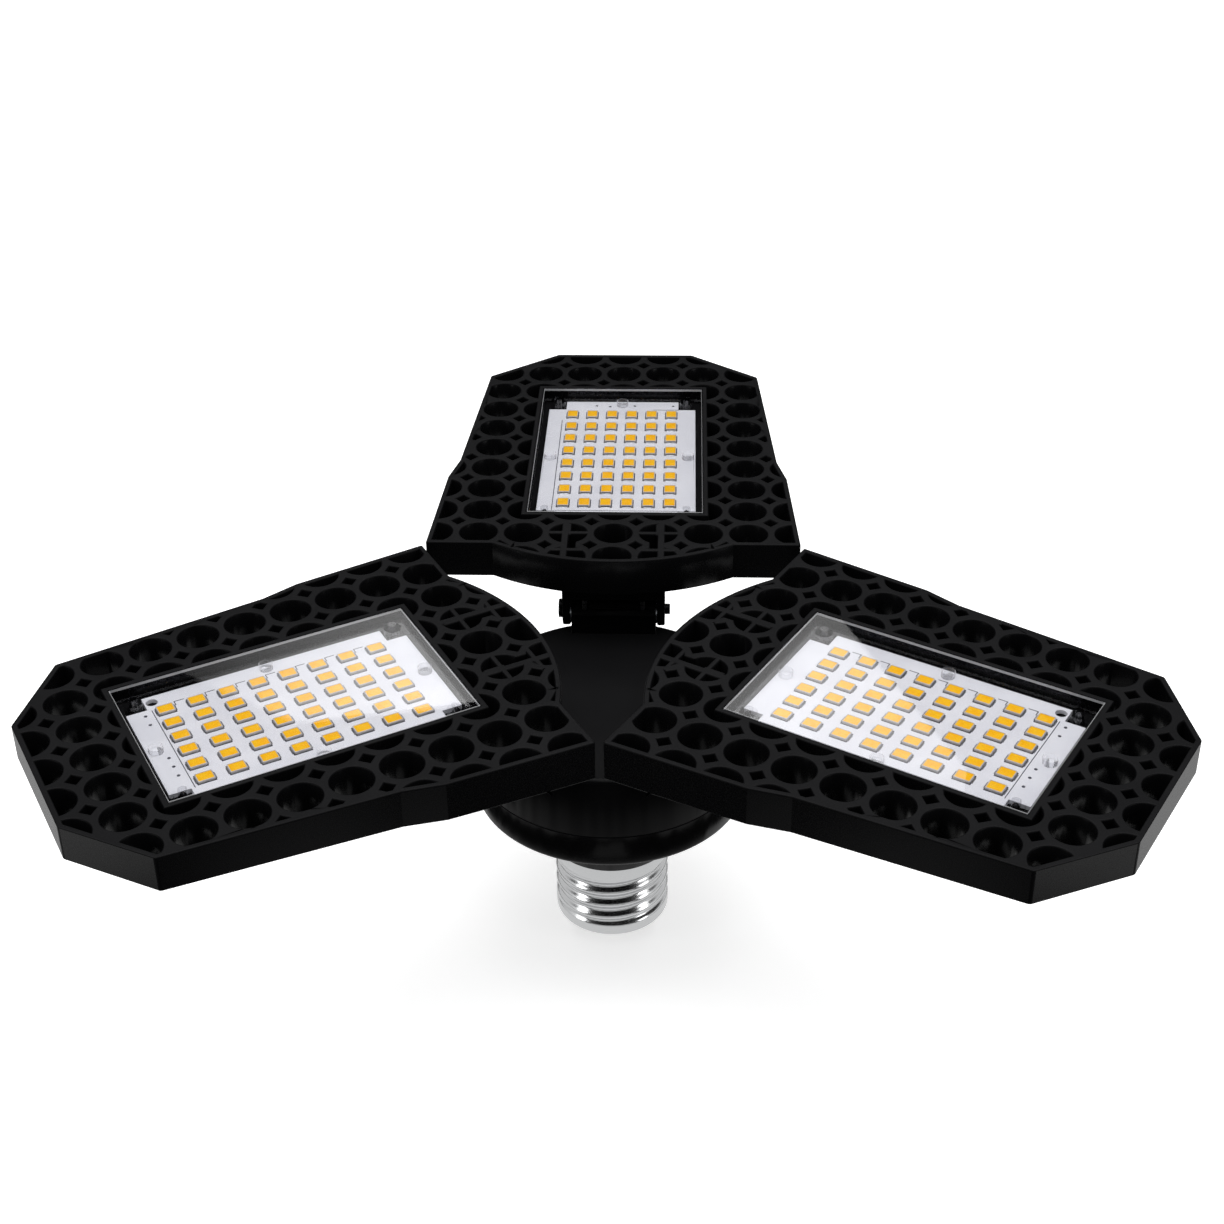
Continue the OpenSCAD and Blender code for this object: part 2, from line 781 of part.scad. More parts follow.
module panel_frame() {
    color("#1a1b1d")
    difference() {
        union() {
            intersection() {
                translate([0, 0, -panel_t])
                    linear_extrude(panel_t)
                    difference() {
                        panel_outline(0);
                        open_plan();
                    }
                across(3 * inner_half_w) panel_side();
            }
            for (side = [-1, 1])
                translate([side * (knuckle_in + knuckle_out) / 2, 0, 0])
                across(knuckle_t) knuckle_side();
            hinge_web();
        }
        translate([0, 0, pocket_z]) linear_extrude(-pocket_z + 1) window_shape(0);
        translate([0, 0, -panel_t - 1])
            linear_extrude(panel_t + 1 + floor_z) back_plan();
        cover_screw_places() {
            translate([0, 0, -panel_t]) cylinder(r = cover_screw_r + screw_clear, h = panel_t);
            translate([0, 0, -panel_t - eps])
                cylinder(r = cover_screw_head_r + screw_clear, h = panel_t + floor_z + eps);
        }
        across(knuckle_span + 2) translate([hinge_y, -hinge_drop]) circle(bolt_bore_r);
        beside() lead_channel();
    }
}

// The way of one lead: up through the hinge block, out along the panel's lower face, and up
// through the floor to the back of the light board
module lead_channel() {
    // A stretch of the groove, from y to y + run and from z to z + height
    module groove(y, run, z, height) {
        translate([lead_x - lead_groove_half, y, z]) cube([2 * lead_groove_half, run, height]);
    }
    groove_top = lead_run_z + lead_groove_half;
    bend_room = lead_bend + lead_bore_r;
    translate([lead_x, lead_y, web_bottom - eps])
        cylinder(r = lead_bore_r, h = lead_run_z - web_bottom + eps);
    groove(lead_y, lead_end_y - lead_y, -panel_t - eps, groove_top + panel_t + eps);
    groove(lead_y, bend_room, lead_run_z - lead_bend, lead_bend);
    groove(lead_end_y - bend_room, bend_room, lead_run_z, lead_bend);
    translate([lead_x, lead_end_y, -panel_t - eps])
        cylinder(r = lead_bore_r, h = panel_t + pocket_z + 2 * eps);
}

// Board, screws and lights share the window's middle as their centre
module on_board() {
    translate([0, window_mid, -board_depth]) children();
}

module light_board() {
    color("#eceaf1")
    on_board()
    translate([0, 0, -board_t])
    linear_extrude(board_t)
    difference() {
        square([board_w, board_len], center = true);
        for (x = [-1, 1], y = [-1, 1])
            translate([x * board_w / 2, y * board_len / 2]) square(2 * notch, center = true);
    }
}

module at_leds() {
    on_board()
    for (i = [0 : led_columns - 1], j = [0 : led_rows - 1])
        translate([(i - (led_columns - 1) / 2) * led_pitch_x,
                   (j - (led_rows - 1) / 2) * led_pitch_y, 0])
        children();
}

module led_packages() {
    color("#f3efe4")
    at_leds()
    difference() {
        translate([-led_w / 2, -led_len / 2, 0]) cube([led_w, led_len, led_h]);
        translate([-phosphor_w / 2, -phosphor_len / 2, led_h - phosphor_h - phosphor_sunk])
            cube([phosphor_w, phosphor_len, led_h]);
    }
}

module led_phosphor() {
    color("#fdb32a")
    at_leds()
    translate([-phosphor_w / 2, -phosphor_len / 2, led_h - phosphor_h - phosphor_sunk])
    cube([phosphor_w, phosphor_len, phosphor_h]);
}

// A clear plate with a spacer peg at the middle of each side and a screw post at each corner
module clear_cover() {
    peg_r = peg_d / 2;
    peg_x = board_w / 2 - peg_r - peg_inset;
    peg_y = board_len / 2 - peg_r - peg_inset;
    color("#dfe8ee", 0.35)
    difference() {
        union() {
            translate([0, 0, cover_bottom]) linear_extrude(cover_t) window_shape(-cover_gap);
            for (p = [[peg_x, 0], [-peg_x, 0], [0, peg_y], [0, -peg_y]])
                translate([p[0], window_mid + p[1], -board_depth])
                cylinder(r = peg_r, h = board_depth + cover_bottom + eps);
            cover_screw_places()
                translate([0, 0, pocket_z])
                cylinder(d = post_d, h = cover_bottom - pocket_z + eps);
        }
        cover_screw_places()
            translate([0, 0, pocket_z - eps])
            cylinder(r = cover_screw_r + cover_screw_clear,
                     h = -cover_inset - cover_skin - pocket_z);
    }
}

// Screws that come up through the panel's floor into the cover's corner posts
module cover_screws() {
    color("#c4c7cb")
    cover_screw_places() {
        translate([0, 0, floor_z - eps])
            cylinder(r = cover_screw_r, h = floor_t + cover_screw_grip + eps);
        translate([0, 0, floor_z - cover_screw_head_h])
            cylinder(r = cover_screw_head_r, h = cover_screw_head_h);
    }
}

// ---------- Hinge fittings ----------

module hinge_bolt() {
    color("#b9bcc1")
    translate([0, hinge_y, -hinge_drop])
    rotate([0, 90, 0]) {
        translate([0, 0, -knuckle_out]) cylinder(d = bolt_d, h = knuckle_span + bolt_tail);
        translate([0, 0, -knuckle_out - bolt_head_t])
            cylinder(d = bolt_head_d, h = bolt_head_t);
    }
}

module hinge_washers() {
    color("#a5a8ac")
    for (side = [-1, 1])
        translate([side * (knuckle_in - washer_t / 2), 0, 0])
        across(washer_t)
        translate([hinge_y, -hinge_drop])
        difference() {
            circle(washer_r);
            circle(bolt_bore_r);
        }
}

// ---------- Leads to the panels ----------

// Puts a path that is drawn in the X-Z plane into the Y-Z planes of a panel's two leads
module lead_planes() {
    for (side = [-1, 1]) translate([side * lead_x, 0, 0]) rotate([0, 0, 90]) children();
}

// From the driver board out to the hub's wall, and up through the lug to the panel's own leads
module hub_leads() {
    start_y = lead_start_r - panel_start_r;
    run_z = hub_face - wall - lead_bend;
    color("#22242a")
    for (i = [0 : 2]) on_panel(i) lead_planes()
        lead_path([[start_y, driver_top - panel_top], [start_y, run_z],
                   [lead_y, run_z], [lead_y, lead_meet_z - lead_meet_gap]]);
}

// Up through the hinge block to the panel, along its lower face, and up to the light board
module panel_leads() {
    color("#22242a")
    lead_planes()
        lead_path([[lead_y, lead_meet_z], [lead_y, lead_run_z],
                   [lead_end_y, lead_run_z], [lead_end_y, pocket_z]]);
}

centre_contact();
base_insulator();
screw_shell();
driver_housing();
hub_body();
housing_screws();
driver_board();
driver_board_screws();
smoothing_capacitor();
transformer();
bridge_rectifier();
fuse();
film_capacitor();
base_leads();
hub_leads();
on_panel(0) panel_frame();  // rear_panel_frame
on_panel(1) panel_frame();  // left_panel_frame
on_panel(2) panel_frame();  // right_panel_frame
on_panel(0) light_board();  // rear_light_board
on_panel(1) light_board();  // left_light_board
on_panel(2) light_board();  // right_light_board
on_panel(0) led_packages();  // rear_led_packages
on_panel(1) led_packages();  // left_led_packages
on_panel(2) led_packages();  // right_led_packages
on_panel(0) led_phosphor();  // rear_led_phosphor
on_panel(1) led_phosphor();  // left_led_phosphor
on_panel(2) led_phosphor();  // right_led_phosphor
on_panel(0) clear_cover();  // rear_clear_cover
on_panel(1) clear_cover();  // left_clear_cover
on_panel(2) clear_cover();  // right_clear_cover
on_panel(0) cover_screws();  // rear_cover_screws
on_panel(1) cover_screws();  // left_cover_screws
on_panel(2) cover_screws();  // right_cover_screws
on_panel(0) hinge_bolt();  // rear_hinge_bolt
on_panel(1) hinge_bolt();  // left_hinge_bolt
on_panel(2) hinge_bolt();  // right_hinge_bolt
on_panel(0) hinge_washers();  // rear_hinge_washers
on_panel(1) hinge_washers();  // left_hinge_washers
on_panel(2) hinge_washers();  // right_hinge_washers
on_panel(0) panel_leads();  // rear_panel_leads
on_panel(1) panel_leads();  // left_panel_leads
on_panel(2) panel_leads();  // right_panel_leads
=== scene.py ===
# %% [markdown]
# A folding garage light, dressed for a studio picture
#
# The real object is a lamp with a screw base, a round hub over its driver, and three black honeycomb
# panels that hinge on the hub. Each panel has a window with a white LED board under a clear cover. The
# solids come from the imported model, so every size and place here is in metres in that model's frame.
# What is made here is the finish: soft edges on the mouldings, a rolled thread, the small parts of the
# boards, and a material for each surface.

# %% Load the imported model
import math

import bmesh
import bpy
import numpy as np
from mathutils import Matrix, Vector


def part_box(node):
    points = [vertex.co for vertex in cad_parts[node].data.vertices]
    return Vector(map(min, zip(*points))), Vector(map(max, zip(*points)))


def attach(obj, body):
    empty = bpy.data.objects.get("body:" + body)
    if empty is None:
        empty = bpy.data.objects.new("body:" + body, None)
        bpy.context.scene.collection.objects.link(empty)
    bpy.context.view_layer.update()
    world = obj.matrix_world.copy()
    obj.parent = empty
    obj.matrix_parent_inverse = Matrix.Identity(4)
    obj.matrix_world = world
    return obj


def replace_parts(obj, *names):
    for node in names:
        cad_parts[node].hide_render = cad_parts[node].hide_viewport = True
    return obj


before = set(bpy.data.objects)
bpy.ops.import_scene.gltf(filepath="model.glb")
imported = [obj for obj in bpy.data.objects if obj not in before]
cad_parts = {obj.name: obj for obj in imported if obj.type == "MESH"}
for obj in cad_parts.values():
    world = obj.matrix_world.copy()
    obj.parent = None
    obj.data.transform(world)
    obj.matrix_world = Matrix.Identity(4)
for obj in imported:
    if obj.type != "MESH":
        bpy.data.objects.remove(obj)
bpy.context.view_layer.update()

MM = 0.001
PANELS = {"rear": 90.0, "left": 210.0, "right": -30.0}

# %% [markdown]
# The camera
#
# The photograph looks down on the panels from the front, a little from the left, with a long lens and a
# slight tilt. The panels' known outlines fix where the camera stood: its distance, height and bearing,
# and how far the object sits off the middle of the frame, which a shift of the lens takes up.

# %% Place the camera
FRAME_PX = 1224
FOCAL_PX = 1967.83
CENTRE_PX = (607.69, 551.23)
LOOK_AT = Vector((0, 0, 102.4 * MM))
CAMERA_DISTANCE = 419.46 * MM
BEARING, HEIGHT_ANGLE, ROLL = (math.radians(a) for a in (-2.52, 31.2, -0.80))
SENSOR = 36.0


def camera_axes(bearing, height_angle, roll):
    """The camera's right, up and forward directions. Forward leans down by the height angle, right is
    level, up is their cross product, and the roll turns right and up about forward."""
    forward = Vector((math.sin(bearing) * math.cos(height_angle),
                      math.cos(bearing) * math.cos(height_angle),
                      -math.sin(height_angle)))
    right = Vector((math.cos(bearing), -math.sin(bearing), 0))
    up = right.cross(forward)
    turned_right = right * math.cos(roll) + up * math.sin(roll)
    turned_up = up * math.cos(roll) - right * math.sin(roll)
    return turned_right, turned_up, forward


right, up, forward = camera_axes(BEARING, HEIGHT_ANGLE, ROLL)
camera = bpy.data.objects.new("camera", bpy.data.cameras.new("camera"))
bpy.context.scene.collection.objects.link(camera)
camera.data.sensor_width = SENSOR
camera.data.lens = FOCAL_PX / FRAME_PX * SENSOR
camera.data.shift_x = 0.5 - CENTRE_PX[0] / FRAME_PX
camera.data.shift_y = CENTRE_PX[1] / FRAME_PX - 0.5
turn = Matrix((right, up, -forward)).transposed().to_4x4()
camera.matrix_world = Matrix.Translation(LOOK_AT - forward * CAMERA_DISTANCE) @ turn
bpy.context.scene.camera = camera
print("camera at", [round(v, 3) for v in camera.location], "lens", round(camera.data.lens, 2))

# %% [markdown]
# Small tools for materials
#
# Colours are easiest to choose as the hex values that a picture shows, but shaders work in linear light,
# so one function converts them. A second one adds a node to a material with its settings and its links,
# and a third starts a material with the one shader that most finishes need.

# %% Define the material helpers
TONE_EDGES = (0.35, 0.65)  # where a blotch starts and ends its change of tone


def linear(hex_colour, alpha=1.0):
    """The linear RGBA of an sRGB hex colour: below 0.04045 a channel is divided by 12.92, and above it
    it is raised to the power 2.4."""
    channels = [int(hex_colour[i:i + 2], 16) / 255 for i in (1, 3, 5)]
    return tuple(c / 12.92 if c <= 0.04045 else ((c + 0.055) / 1.055) ** 2.4
                 for c in channels) + (alpha,)


def add_node(tree, kind, settings=None, links=None):
    """Adds one node. A setting's name is a property of the node or one of its sockets, and a link joins
    one of its inputs to another node's output."""
    node = tree.nodes.new(kind)
    for name, value in (settings or {}).items():
        if isinstance(name, str) and hasattr(node, name):
            setattr(node, name, value)
        else:
            node.inputs[name].default_value = value
    for name, source in (links or {}).items():
        tree.links.new(source, node.inputs[name])
    return node


def start_material(name, **sockets):
    """A material with one Principled shader, its sockets set, and its output."""
    material = bpy.data.materials.new(name)
    material.use_nodes = True
    tree = material.node_tree
    tree.nodes.clear()
    settings = {name.replace("_", " "): value for name, value in sockets.items()}
    shader = add_node(tree, "ShaderNodeBsdfPrincipled", settings)
    add_node(tree, "ShaderNodeOutputMaterial", links={"Surface": shader.outputs[0]})
    return material, tree, shader


def noise(tree, size_mm, detail=2.0, stretch=(1, 1, 1)):
    """Noise in the object's own space whose blotches are about size_mm across, stretched along an axis
    where that axis has a factor below 1."""
    place = add_node(tree, "ShaderNodeTexCoord")
    spread = add_node(tree, "ShaderNodeMapping", {"Scale": stretch},
                      {"Vector": place.outputs["Object"]})
    return add_node(tree, "ShaderNodeTexNoise", {"Scale": 1 / (size_mm * MM), "Detail": detail},
                    {"Vector": spread.outputs[0]}).outputs["Fac"]


def vary(tree, source, low, high):
    """Maps a 0 to 1 pattern onto the range from low to high."""
    return add_node(tree, "ShaderNodeMapRange", {"To Min": low, "To Max": high},
                    {"Value": source}).outputs[0]


def two_tones(tree, source, dark, light):
    """Blends two hex colours by a pattern, with a soft edge between them."""
    ramp = add_node(tree, "ShaderNodeValToRGB", links={"Fac": source})
    for stop, position, tone in zip(ramp.color_ramp.elements, TONE_EDGES, (dark, light)):
        stop.position = position
        stop.color = linear(tone)
    return ramp.outputs["Color"]


def roughen(tree, shader, source, depth_mm, strength=1.0):
    """Bumps a shader by a pattern whose peaks stand depth_mm high."""
    bump = add_node(tree, "ShaderNodeBump", {"Distance": depth_mm * MM, "Strength": strength},
                    {"Height": source})
    tree.links.new(bump.outputs[0], shader.inputs["Normal"])


# %% [markdown]
# The black mouldings
#
# Panels, hub and driver housing are black ABS. The mould for the panels' tops is spark-eroded, which
# leaves a fine even grain that sends little light back, so they are flat, and they are painted a slightly
# grey black as lit faces. The walls slide along the steel as the part leaves the mould, so they come out
# smoother and mirror pale things faintly, and they are painted a deeper black as painted shade. The hub
# and the housing are alike, with a finer grain, and the hub's wall, which stands in the shade of the
# panels, mirrors least. Where a surface turns away from level, its tone goes over to the painted shade of
# the walls: the object-space normal tells how level it is, and turns with the part.

# %% Make the black plastics
BLOTCH_MM = 14.0
GRAIN_SPREAD = 0.07  # how far the grain takes the roughness up and down
GRAIN_STRENGTH = 0.6
# The band of the normal's Z where the painted shade of walls goes over to the lighter painted tone of
# level faces
SHADE_BAND = (0.86, 0.98)  # the normal's Z over which a wall's tone goes over to a level face's


def moulded_black(name, level, steep, roughness, specular, grain_mm, grain_depth_mm):
    """Moulded ABS. Each of level and steep is a pair of near-black tones in soft blotches, blended by how
    upright the normal is, so that steep faces get the painted shade of steep and level faces the painted
    light of level, and a grain both bumps and dulls the surface."""
    material, tree, shader = start_material(name, IOR=1.53)
    shader.inputs["Specular IOR Level"].default_value = specular
    blotches = noise(tree, BLOTCH_MM)
    grain = noise(tree, grain_mm, 3.0)
    place = add_node(tree, "ShaderNodeTexCoord")
    normal = add_node(tree, "ShaderNodeSeparateXYZ", links={0: place.outputs["Normal"]})
    lit_share = add_node(tree, "ShaderNodeMapRange",
                        {"From Min": SHADE_BAND[0], "From Max": SHADE_BAND[1]},
                        {"Value": normal.outputs["Z"]})
    colour = add_node(tree, "ShaderNodeMix", {"data_type": "RGBA"}, {0: lit_share.outputs[0]})
    tree.links.new(two_tones(tree, blotches, *steep), colour.inputs[6])
    tree.links.new(two_tones(tree, blotches, *level), colour.inputs[7])
    tree.links.new(colour.outputs[2], shader.inputs["Base Color"])
    dulled = vary(tree, grain, roughness - GRAIN_SPREAD, roughness + GRAIN_SPREAD)
    tree.links.new(dulled, shader.inputs["Roughness"])
    roughen(tree, shader, grain, grain_depth_mm, GRAIN_STRENGTH)
    return material


# Painted light and shade: a lighter black for level faces and a darker black for walls, on one plastic
LIT_TOP_TONES, SHADED_WALL_TONES = ("#141415", "#171718"), ("#070708", "#09090A")
LIT_HOUSING_TONES = ("#111112", "#131314")
# name, tones of level and steep faces, roughness, specular level, grain and its depth in mm
panel_top = moulded_black("panel_spark_eroded_abs_painted_shade", LIT_TOP_TONES, SHADED_WALL_TONES, 0.44, 0.045, 0.35, 0.012)
panel_wall = moulded_black("panel_drawn_wall_abs_painted_shade", SHADED_WALL_TONES, SHADED_WALL_TONES, 0.27, 0.17, 0.35, 0.0015)
housing_top = moulded_black("housing_spark_eroded_abs_painted_shade", LIT_HOUSING_TONES, SHADED_WALL_TONES, 0.40, 0.06, 0.3,
                            0.008)
housing_wall = moulded_black("housing_drawn_wall_abs_painted_shade", SHADED_WALL_TONES, SHADED_WALL_TONES, 0.22, 0.18, 0.3, 0.001)
hub_wall = moulded_black("hub_drawn_wall_abs_painted_shade", SHADED_WALL_TONES, SHADED_WALL_TONES, 0.32, 0.03, 0.3, 0.001)
mouldings = (panel_top, panel_wall, housing_top, housing_wall, hub_wall)
print("black mouldings:", *(moulding.name for moulding in mouldings))

# %% [markdown]
# The metals
#
# The screw shell is brass sheet rolled into a thread and nickel plated, so it is bright, with faint rings
# from the rolling. The centre contact is a drop of tin solder. The housing screws are zinc-plated steel,
# slightly duller and bluer than nickel, and the cover screws and hinge bolts have a black oxide.

# %% Make the metals
RING_STRETCH = (0.06, 0.06, 1)  # blotches drawn out round the axis, so that they read as rings
RING_DEPTH_MM = 0.01


def plated(name, hex_colour, roughness, ring_mm):
    """A plated metal whose roughness changes a little in rings round the upright axis."""
    material, tree, shader = start_material(name, Metallic=1.0)
    rings = noise(tree, ring_mm, 2.0, RING_STRETCH)
    shader.inputs["Base Color"].default_value = linear(hex_colour)
    tree.links.new(vary(tree, rings, roughness * 0.7, roughness * 1.3), shader.inputs["Roughness"])
    roughen(tree, shader, rings, RING_DEPTH_MM, 0.25)
    return material


nickel = plated("bright_nickel_plate", "#D6D7D8", 0.20, 0.5)
solder = plated("tin_solder", "#C9C7C3", 0.34, 0.8)
zinc = plated("zinc_plated_steel", "#B9BDC2", 0.28, 0.3)
black_oxide = plated("black_oxide_steel", "#2A2A2C", 0.38, 0.3)
print("metals:", nickel.name, solder.name, zinc.name, black_oxide.name)

# %% [markdown]
# The boards and their parts
#
# An LED board is aluminium under a white solder mask, which looks slightly blue beside the LEDs. Each
# LED is a pale moulded package filled with silicone that holds a yellow-orange phosphor, and bright
# solder joins its two ends to the board. The package is painted a mid grey, darker than its white resin,
# as painted shade round the phosphor. The driver's board is glass-epoxy under a green mask.

# %% Make the board finishes
def coated(name, dark, light, roughness, blotch_mm, **sockets):
    """A smooth coated or moulded surface: two close tones and an even gloss."""
    material, tree, shader = start_material(name, **sockets)
    blotches = noise(tree, blotch_mm)
    tree.links.new(two_tones(tree, blotches, dark, light), shader.inputs["Base Color"])
    tree.links.new(vary(tree, blotches, roughness - 0.04, roughness + 0.04), shader.inputs["Roughness"])
    return material


white_mask = coated("white_solder_mask", "#E2E3E8", "#EAEBEF", 0.34, 9.0, IOR=1.55)
# Painted shade: the package's resin is given a mid grey, darker than white resin, for the shade on its
# sides
package_white = coated("led_package_resin_painted_shade", "#BDB9B6", "#CAC6C2", 0.42, 2.0)
phosphor = coated("phosphor_silicone", "#FFBA0C", "#FFC51C", 0.30, 1.5, IOR=1.41)
joint_solder = coated("tinned_solder_joint", "#9FA0A4", "#B4B5B9", 0.32, 0.6, Metallic=0.85)
# Dark grey for the copper marks, and also for the painted shade in the rims round the LEDs
bare_copper_and_painted_shade = coated("dark_copper_marks_and_painted_shade", "#3B3B44", "#4B4B55", 0.5, 1.0)
green_mask = coated("green_glass_epoxy", "#14502C", "#1B6136", 0.30, 3.0)
sleeve = coated("shrink_sleeve_pvc", "#10151F", "#161C28", 0.25, 4.0)
tape = coated("yellow_polyester_tape", "#C98A1E", "#D99B2A", 0.28, 5.0)
epoxy_black = coated("moulded_black_epoxy", "#131315", "#1B1B1E", 0.45, 1.0)
epoxy_brown = coated("dipped_brown_epoxy", "#7A2414", "#8C2E1A", 0.20, 2.0)
lead_red = coated("red_pvc_lead", "#8E1B16", "#9C231C", 0.42, 1.5)
lead_black = coated("black_pvc_lead", "#141416", "#1C1C1F", 0.42, 1.5)
insulator_black = coated("black_vitreous_insulator", "#0D0D0F", "#131316", 0.18, 6.0)
print("board finishes:", white_mask.name, package_white.name, phosphor.name)

# %% [markdown]
# The clear covers
#
# Each cover is moulded polycarbonate with pegs and posts below it. From above it is nearly invisible: it
# only lays a pale veil over the board where it mirrors a bright card. So each clear finish is part
# see-through and part mirror. The mirror's share follows Schlick's rule: it is the share seen square on,
# plus the rest times the fifth power of how grazing the view is. That works from both sides of a face,
# where a Fresnel node would turn the far side of a thin plate into a full mirror. The saw-cut edge and
# the pegs get a painted highlight instead of a mirror: a pale diffuse white, on the edge only in a narrow
# band along its top, and on the pegs strongest towards their outlines.

# %% Make the clear plastics
COVER_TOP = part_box("rear_clear_cover")[1][2]
# The height of the band of painted highlight along the top of the cover's edge
HIGHLIGHT_BAND = 0.6 * MM
BAND_FADE = 0.1 * MM


def clear_plastic(name, tint, kind, settings, square_on, most=1.0, power=5.0, above=None):
    """See-through plastic: a transparent shader and one that sends light back, mixed by Schlick's rule
    from the share square_on up to the share most. A lower power makes the outlines broader, and below the
    height above, if it is given, the plastic is all see-through."""
    material = bpy.data.materials.new(name)
    material.use_nodes = True
    tree = material.node_tree
    tree.nodes.clear()
    through = add_node(tree, "ShaderNodeBsdfTransparent", {"Color": linear(tint)})
    surface = add_node(tree, kind, settings)
    grazing = add_node(tree, "ShaderNodeLayerWeight", {"Blend": 0.5})
    raised = add_node(tree, "ShaderNodeMath", {"operation": "POWER", 1: power},
                      {0: grazing.outputs["Facing"]})
    share = vary(tree, raised.outputs[0], square_on, most)
    if above is not None:
        place = add_node(tree, "ShaderNodeTexCoord")
        height = add_node(tree, "ShaderNodeSeparateXYZ", links={0: place.outputs["Object"]})
        band = add_node(tree, "ShaderNodeMapRange", {"From Min": above - BAND_FADE, "From Max": above},
                        {"Value": height.outputs["Z"]})
        share = add_node(tree, "ShaderNodeMath", {"operation": "MULTIPLY"},
                         {0: share, 1: band.outputs[0]}).outputs[0]
    mixed = add_node(tree, "ShaderNodeMixShader", links={"Fac": share, 1: through.outputs[0],
                                                         2: surface.outputs[0]})
    add_node(tree, "ShaderNodeOutputMaterial", links={"Surface": mixed.outputs[0]})
    return material


cover_clear = clear_plastic("clear_polycarbonate", "#F8F8F9", "ShaderNodeBsdfGlossy",
                            {"Color": linear("#FFFFFF"), "Roughness": 0.015}, 0.05)
# Painted highlight: pale diffuse white in a band along the top of the cover's edge
cover_edge_painted_highlight = clear_plastic("polycarbonate_edge_painted_highlight", "#E8E8EC", "ShaderNodeBsdfDiffuse",
                           {"Color": linear("#E9EAEC")}, 0.5, 0.8, 5.0, COVER_TOP - HIGHLIGHT_BAND)
# Painted highlight: pale diffuse white on the pegs' sides, strongest at their outlines
cover_peg_painted_highlight = clear_plastic("polycarbonate_peg_painted_highlight", "#F8F8F9", "ShaderNodeBsdfDiffuse",
                          {"Color": linear("#F4F4F7")}, 0.08, 0.9, 2.0)
print("clear plastics:", cover_clear.name, cover_edge_painted_highlight.name, cover_peg_painted_highlight.name)

# %% [markdown]
# Materials on the solids
#
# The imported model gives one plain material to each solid. Here each solid gets its real finish, by its
# name. Panels have the same parts, so one table without the panel's name serves all three.

# %% Dress the solids
FINISHES = {
    "centre_contact": solder, "base_insulator": insulator_black, "screw_shell": nickel,
    "driver_housing": housing_wall, "hub_body": housing_wall, "housing_screws": zinc,
    "driver_board": green_mask, "driver_board_screws": zinc, "smoothing_capacitor": sleeve,
    "transformer": tape, "bridge_rectifier": epoxy_black, "fuse": epoxy_brown,
    "film_capacitor": epoxy_brown, "base_leads": lead_red, "hub_leads": lead_black,
    "panel_frame": panel_wall, "light_board": white_mask, "led_packages": package_white,
    "led_phosphor": phosphor, "clear_cover": cover_clear, "cover_screws": black_oxide,
    "hinge_bolt": black_oxide, "hinge_washers": zinc, "panel_leads": lead_black,
}


def finish_of(node):
    """The finish of a node: its own, or that of the same part without the panel's name."""
    return FINISHES.get(node) or FINISHES[node.split("_", 1)[1]]


for name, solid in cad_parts.items():
    for slot in solid.material_slots:
        slot.material = finish_of(name)
    if not solid.material_slots:
        solid.data.materials.append(finish_of(name))
print("dressed", len(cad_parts), "solids")

# %% [markdown]
# Soft edges on the mouldings
#
# A mould is never perfectly sharp, and it is the rounded edges that catch the light on a black part. A
# copy of each moulding has its loose triangles merged into one skin and every sharp edge rounded by a
# small bevel. It stands for the solid, and moves with the same body.

# %% Round the mouldings
MERGE_WITHIN = 0.002 * MM
STEEP = 0.5  # a face counts as a wall where its normal's Z is below this


def merged_copy(node, name):
    """A copy of a solid whose loose triangles are merged into one skin."""
    piece = bpy.data.objects.new(name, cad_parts[node].data.copy())
    bpy.context.scene.collection.objects.link(piece)
    mesh = bmesh.new()
    mesh.from_mesh(piece.data)
    bmesh.ops.remove_doubles(mesh, verts=mesh.verts, dist=MERGE_WITHIN)
    bmesh.ops.dissolve_degenerate(mesh, edges=mesh.edges, dist=MERGE_WITHIN)
    mesh.to_mesh(piece.data)
    mesh.free()
    piece.data.materials.clear()
    return piece


def soften(piece, radius_mm, segments=2, sharp_deg=35, edge_slot=-1, limit="ANGLE"):
    """Rounds every edge sharper than sharp_deg, or every one that has a bevel weight, with a bevel whose
    faces may have their own material. The flat faces beside it keep their own normals, so that they stay
    evenly lit."""
    bevel = piece.modifiers.new("mould_radius", "BEVEL")
    bevel.width = radius_mm * MM
    bevel.segments = segments
    bevel.limit_method = limit
    bevel.angle_limit = math.radians(sharp_deg)
    bevel.material = edge_slot
    bevel.use_clamp_overlap = False
    bevel.harden_normals = True


def slopes(mesh):
    """How upright each face's normal is, from 0 on a wall to 1 on a level face."""
    normals = np.empty(len(mesh.polygons) * 3)
    mesh.polygons.foreach_get("normal", normals)
    return np.abs(normals[2::3])


def rounded_copy(node, body, finishes, radius_mm):
    """A softened copy that stands for a solid. Its level faces and its rounded edges have the first
    finish, and its walls the last."""
    piece = merged_copy(node, node + "_rounded")
    for finish in finishes:
        piece.data.materials.append(finish)
    kinds = (slopes(piece.data) < STEEP) * (len(finishes) - 1)
    piece.data.polygons.foreach_set("material_index", kinds.astype(np.int32))
    soften(piece, radius_mm, edge_slot=0)
    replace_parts(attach(piece, body), node)


for panel in PANELS:
    rounded_copy(panel + "_panel_frame", panel + "_panel", (panel_top, panel_wall), 0.34)
    rounded_copy(panel + "_hinge_bolt", "root", (black_oxide,), 0.22)
rounded_copy("hub_body", "root", (housing_top, hub_wall), 0.25)
rounded_copy("driver_housing", "root", (housing_top, housing_wall), 0.20)
rounded_copy("base_insulator", "root", (insulator_black,), 0.30)
rounded_copy("centre_contact", "root", (solder,), 0.15)
print("rounded", len(PANELS), "panel mouldings and their bolts, and the hub and base")

# %% [markdown]
# Small tools for shapes
#
# New pieces are worked out as arrays. A form is a stack of rings, each ring a row of points, and the skin
# joins each ring to the next. A repeated form is its points added to a list of places. The panels are the
# same part at three bearings, so everything is made for the rear one and turned.

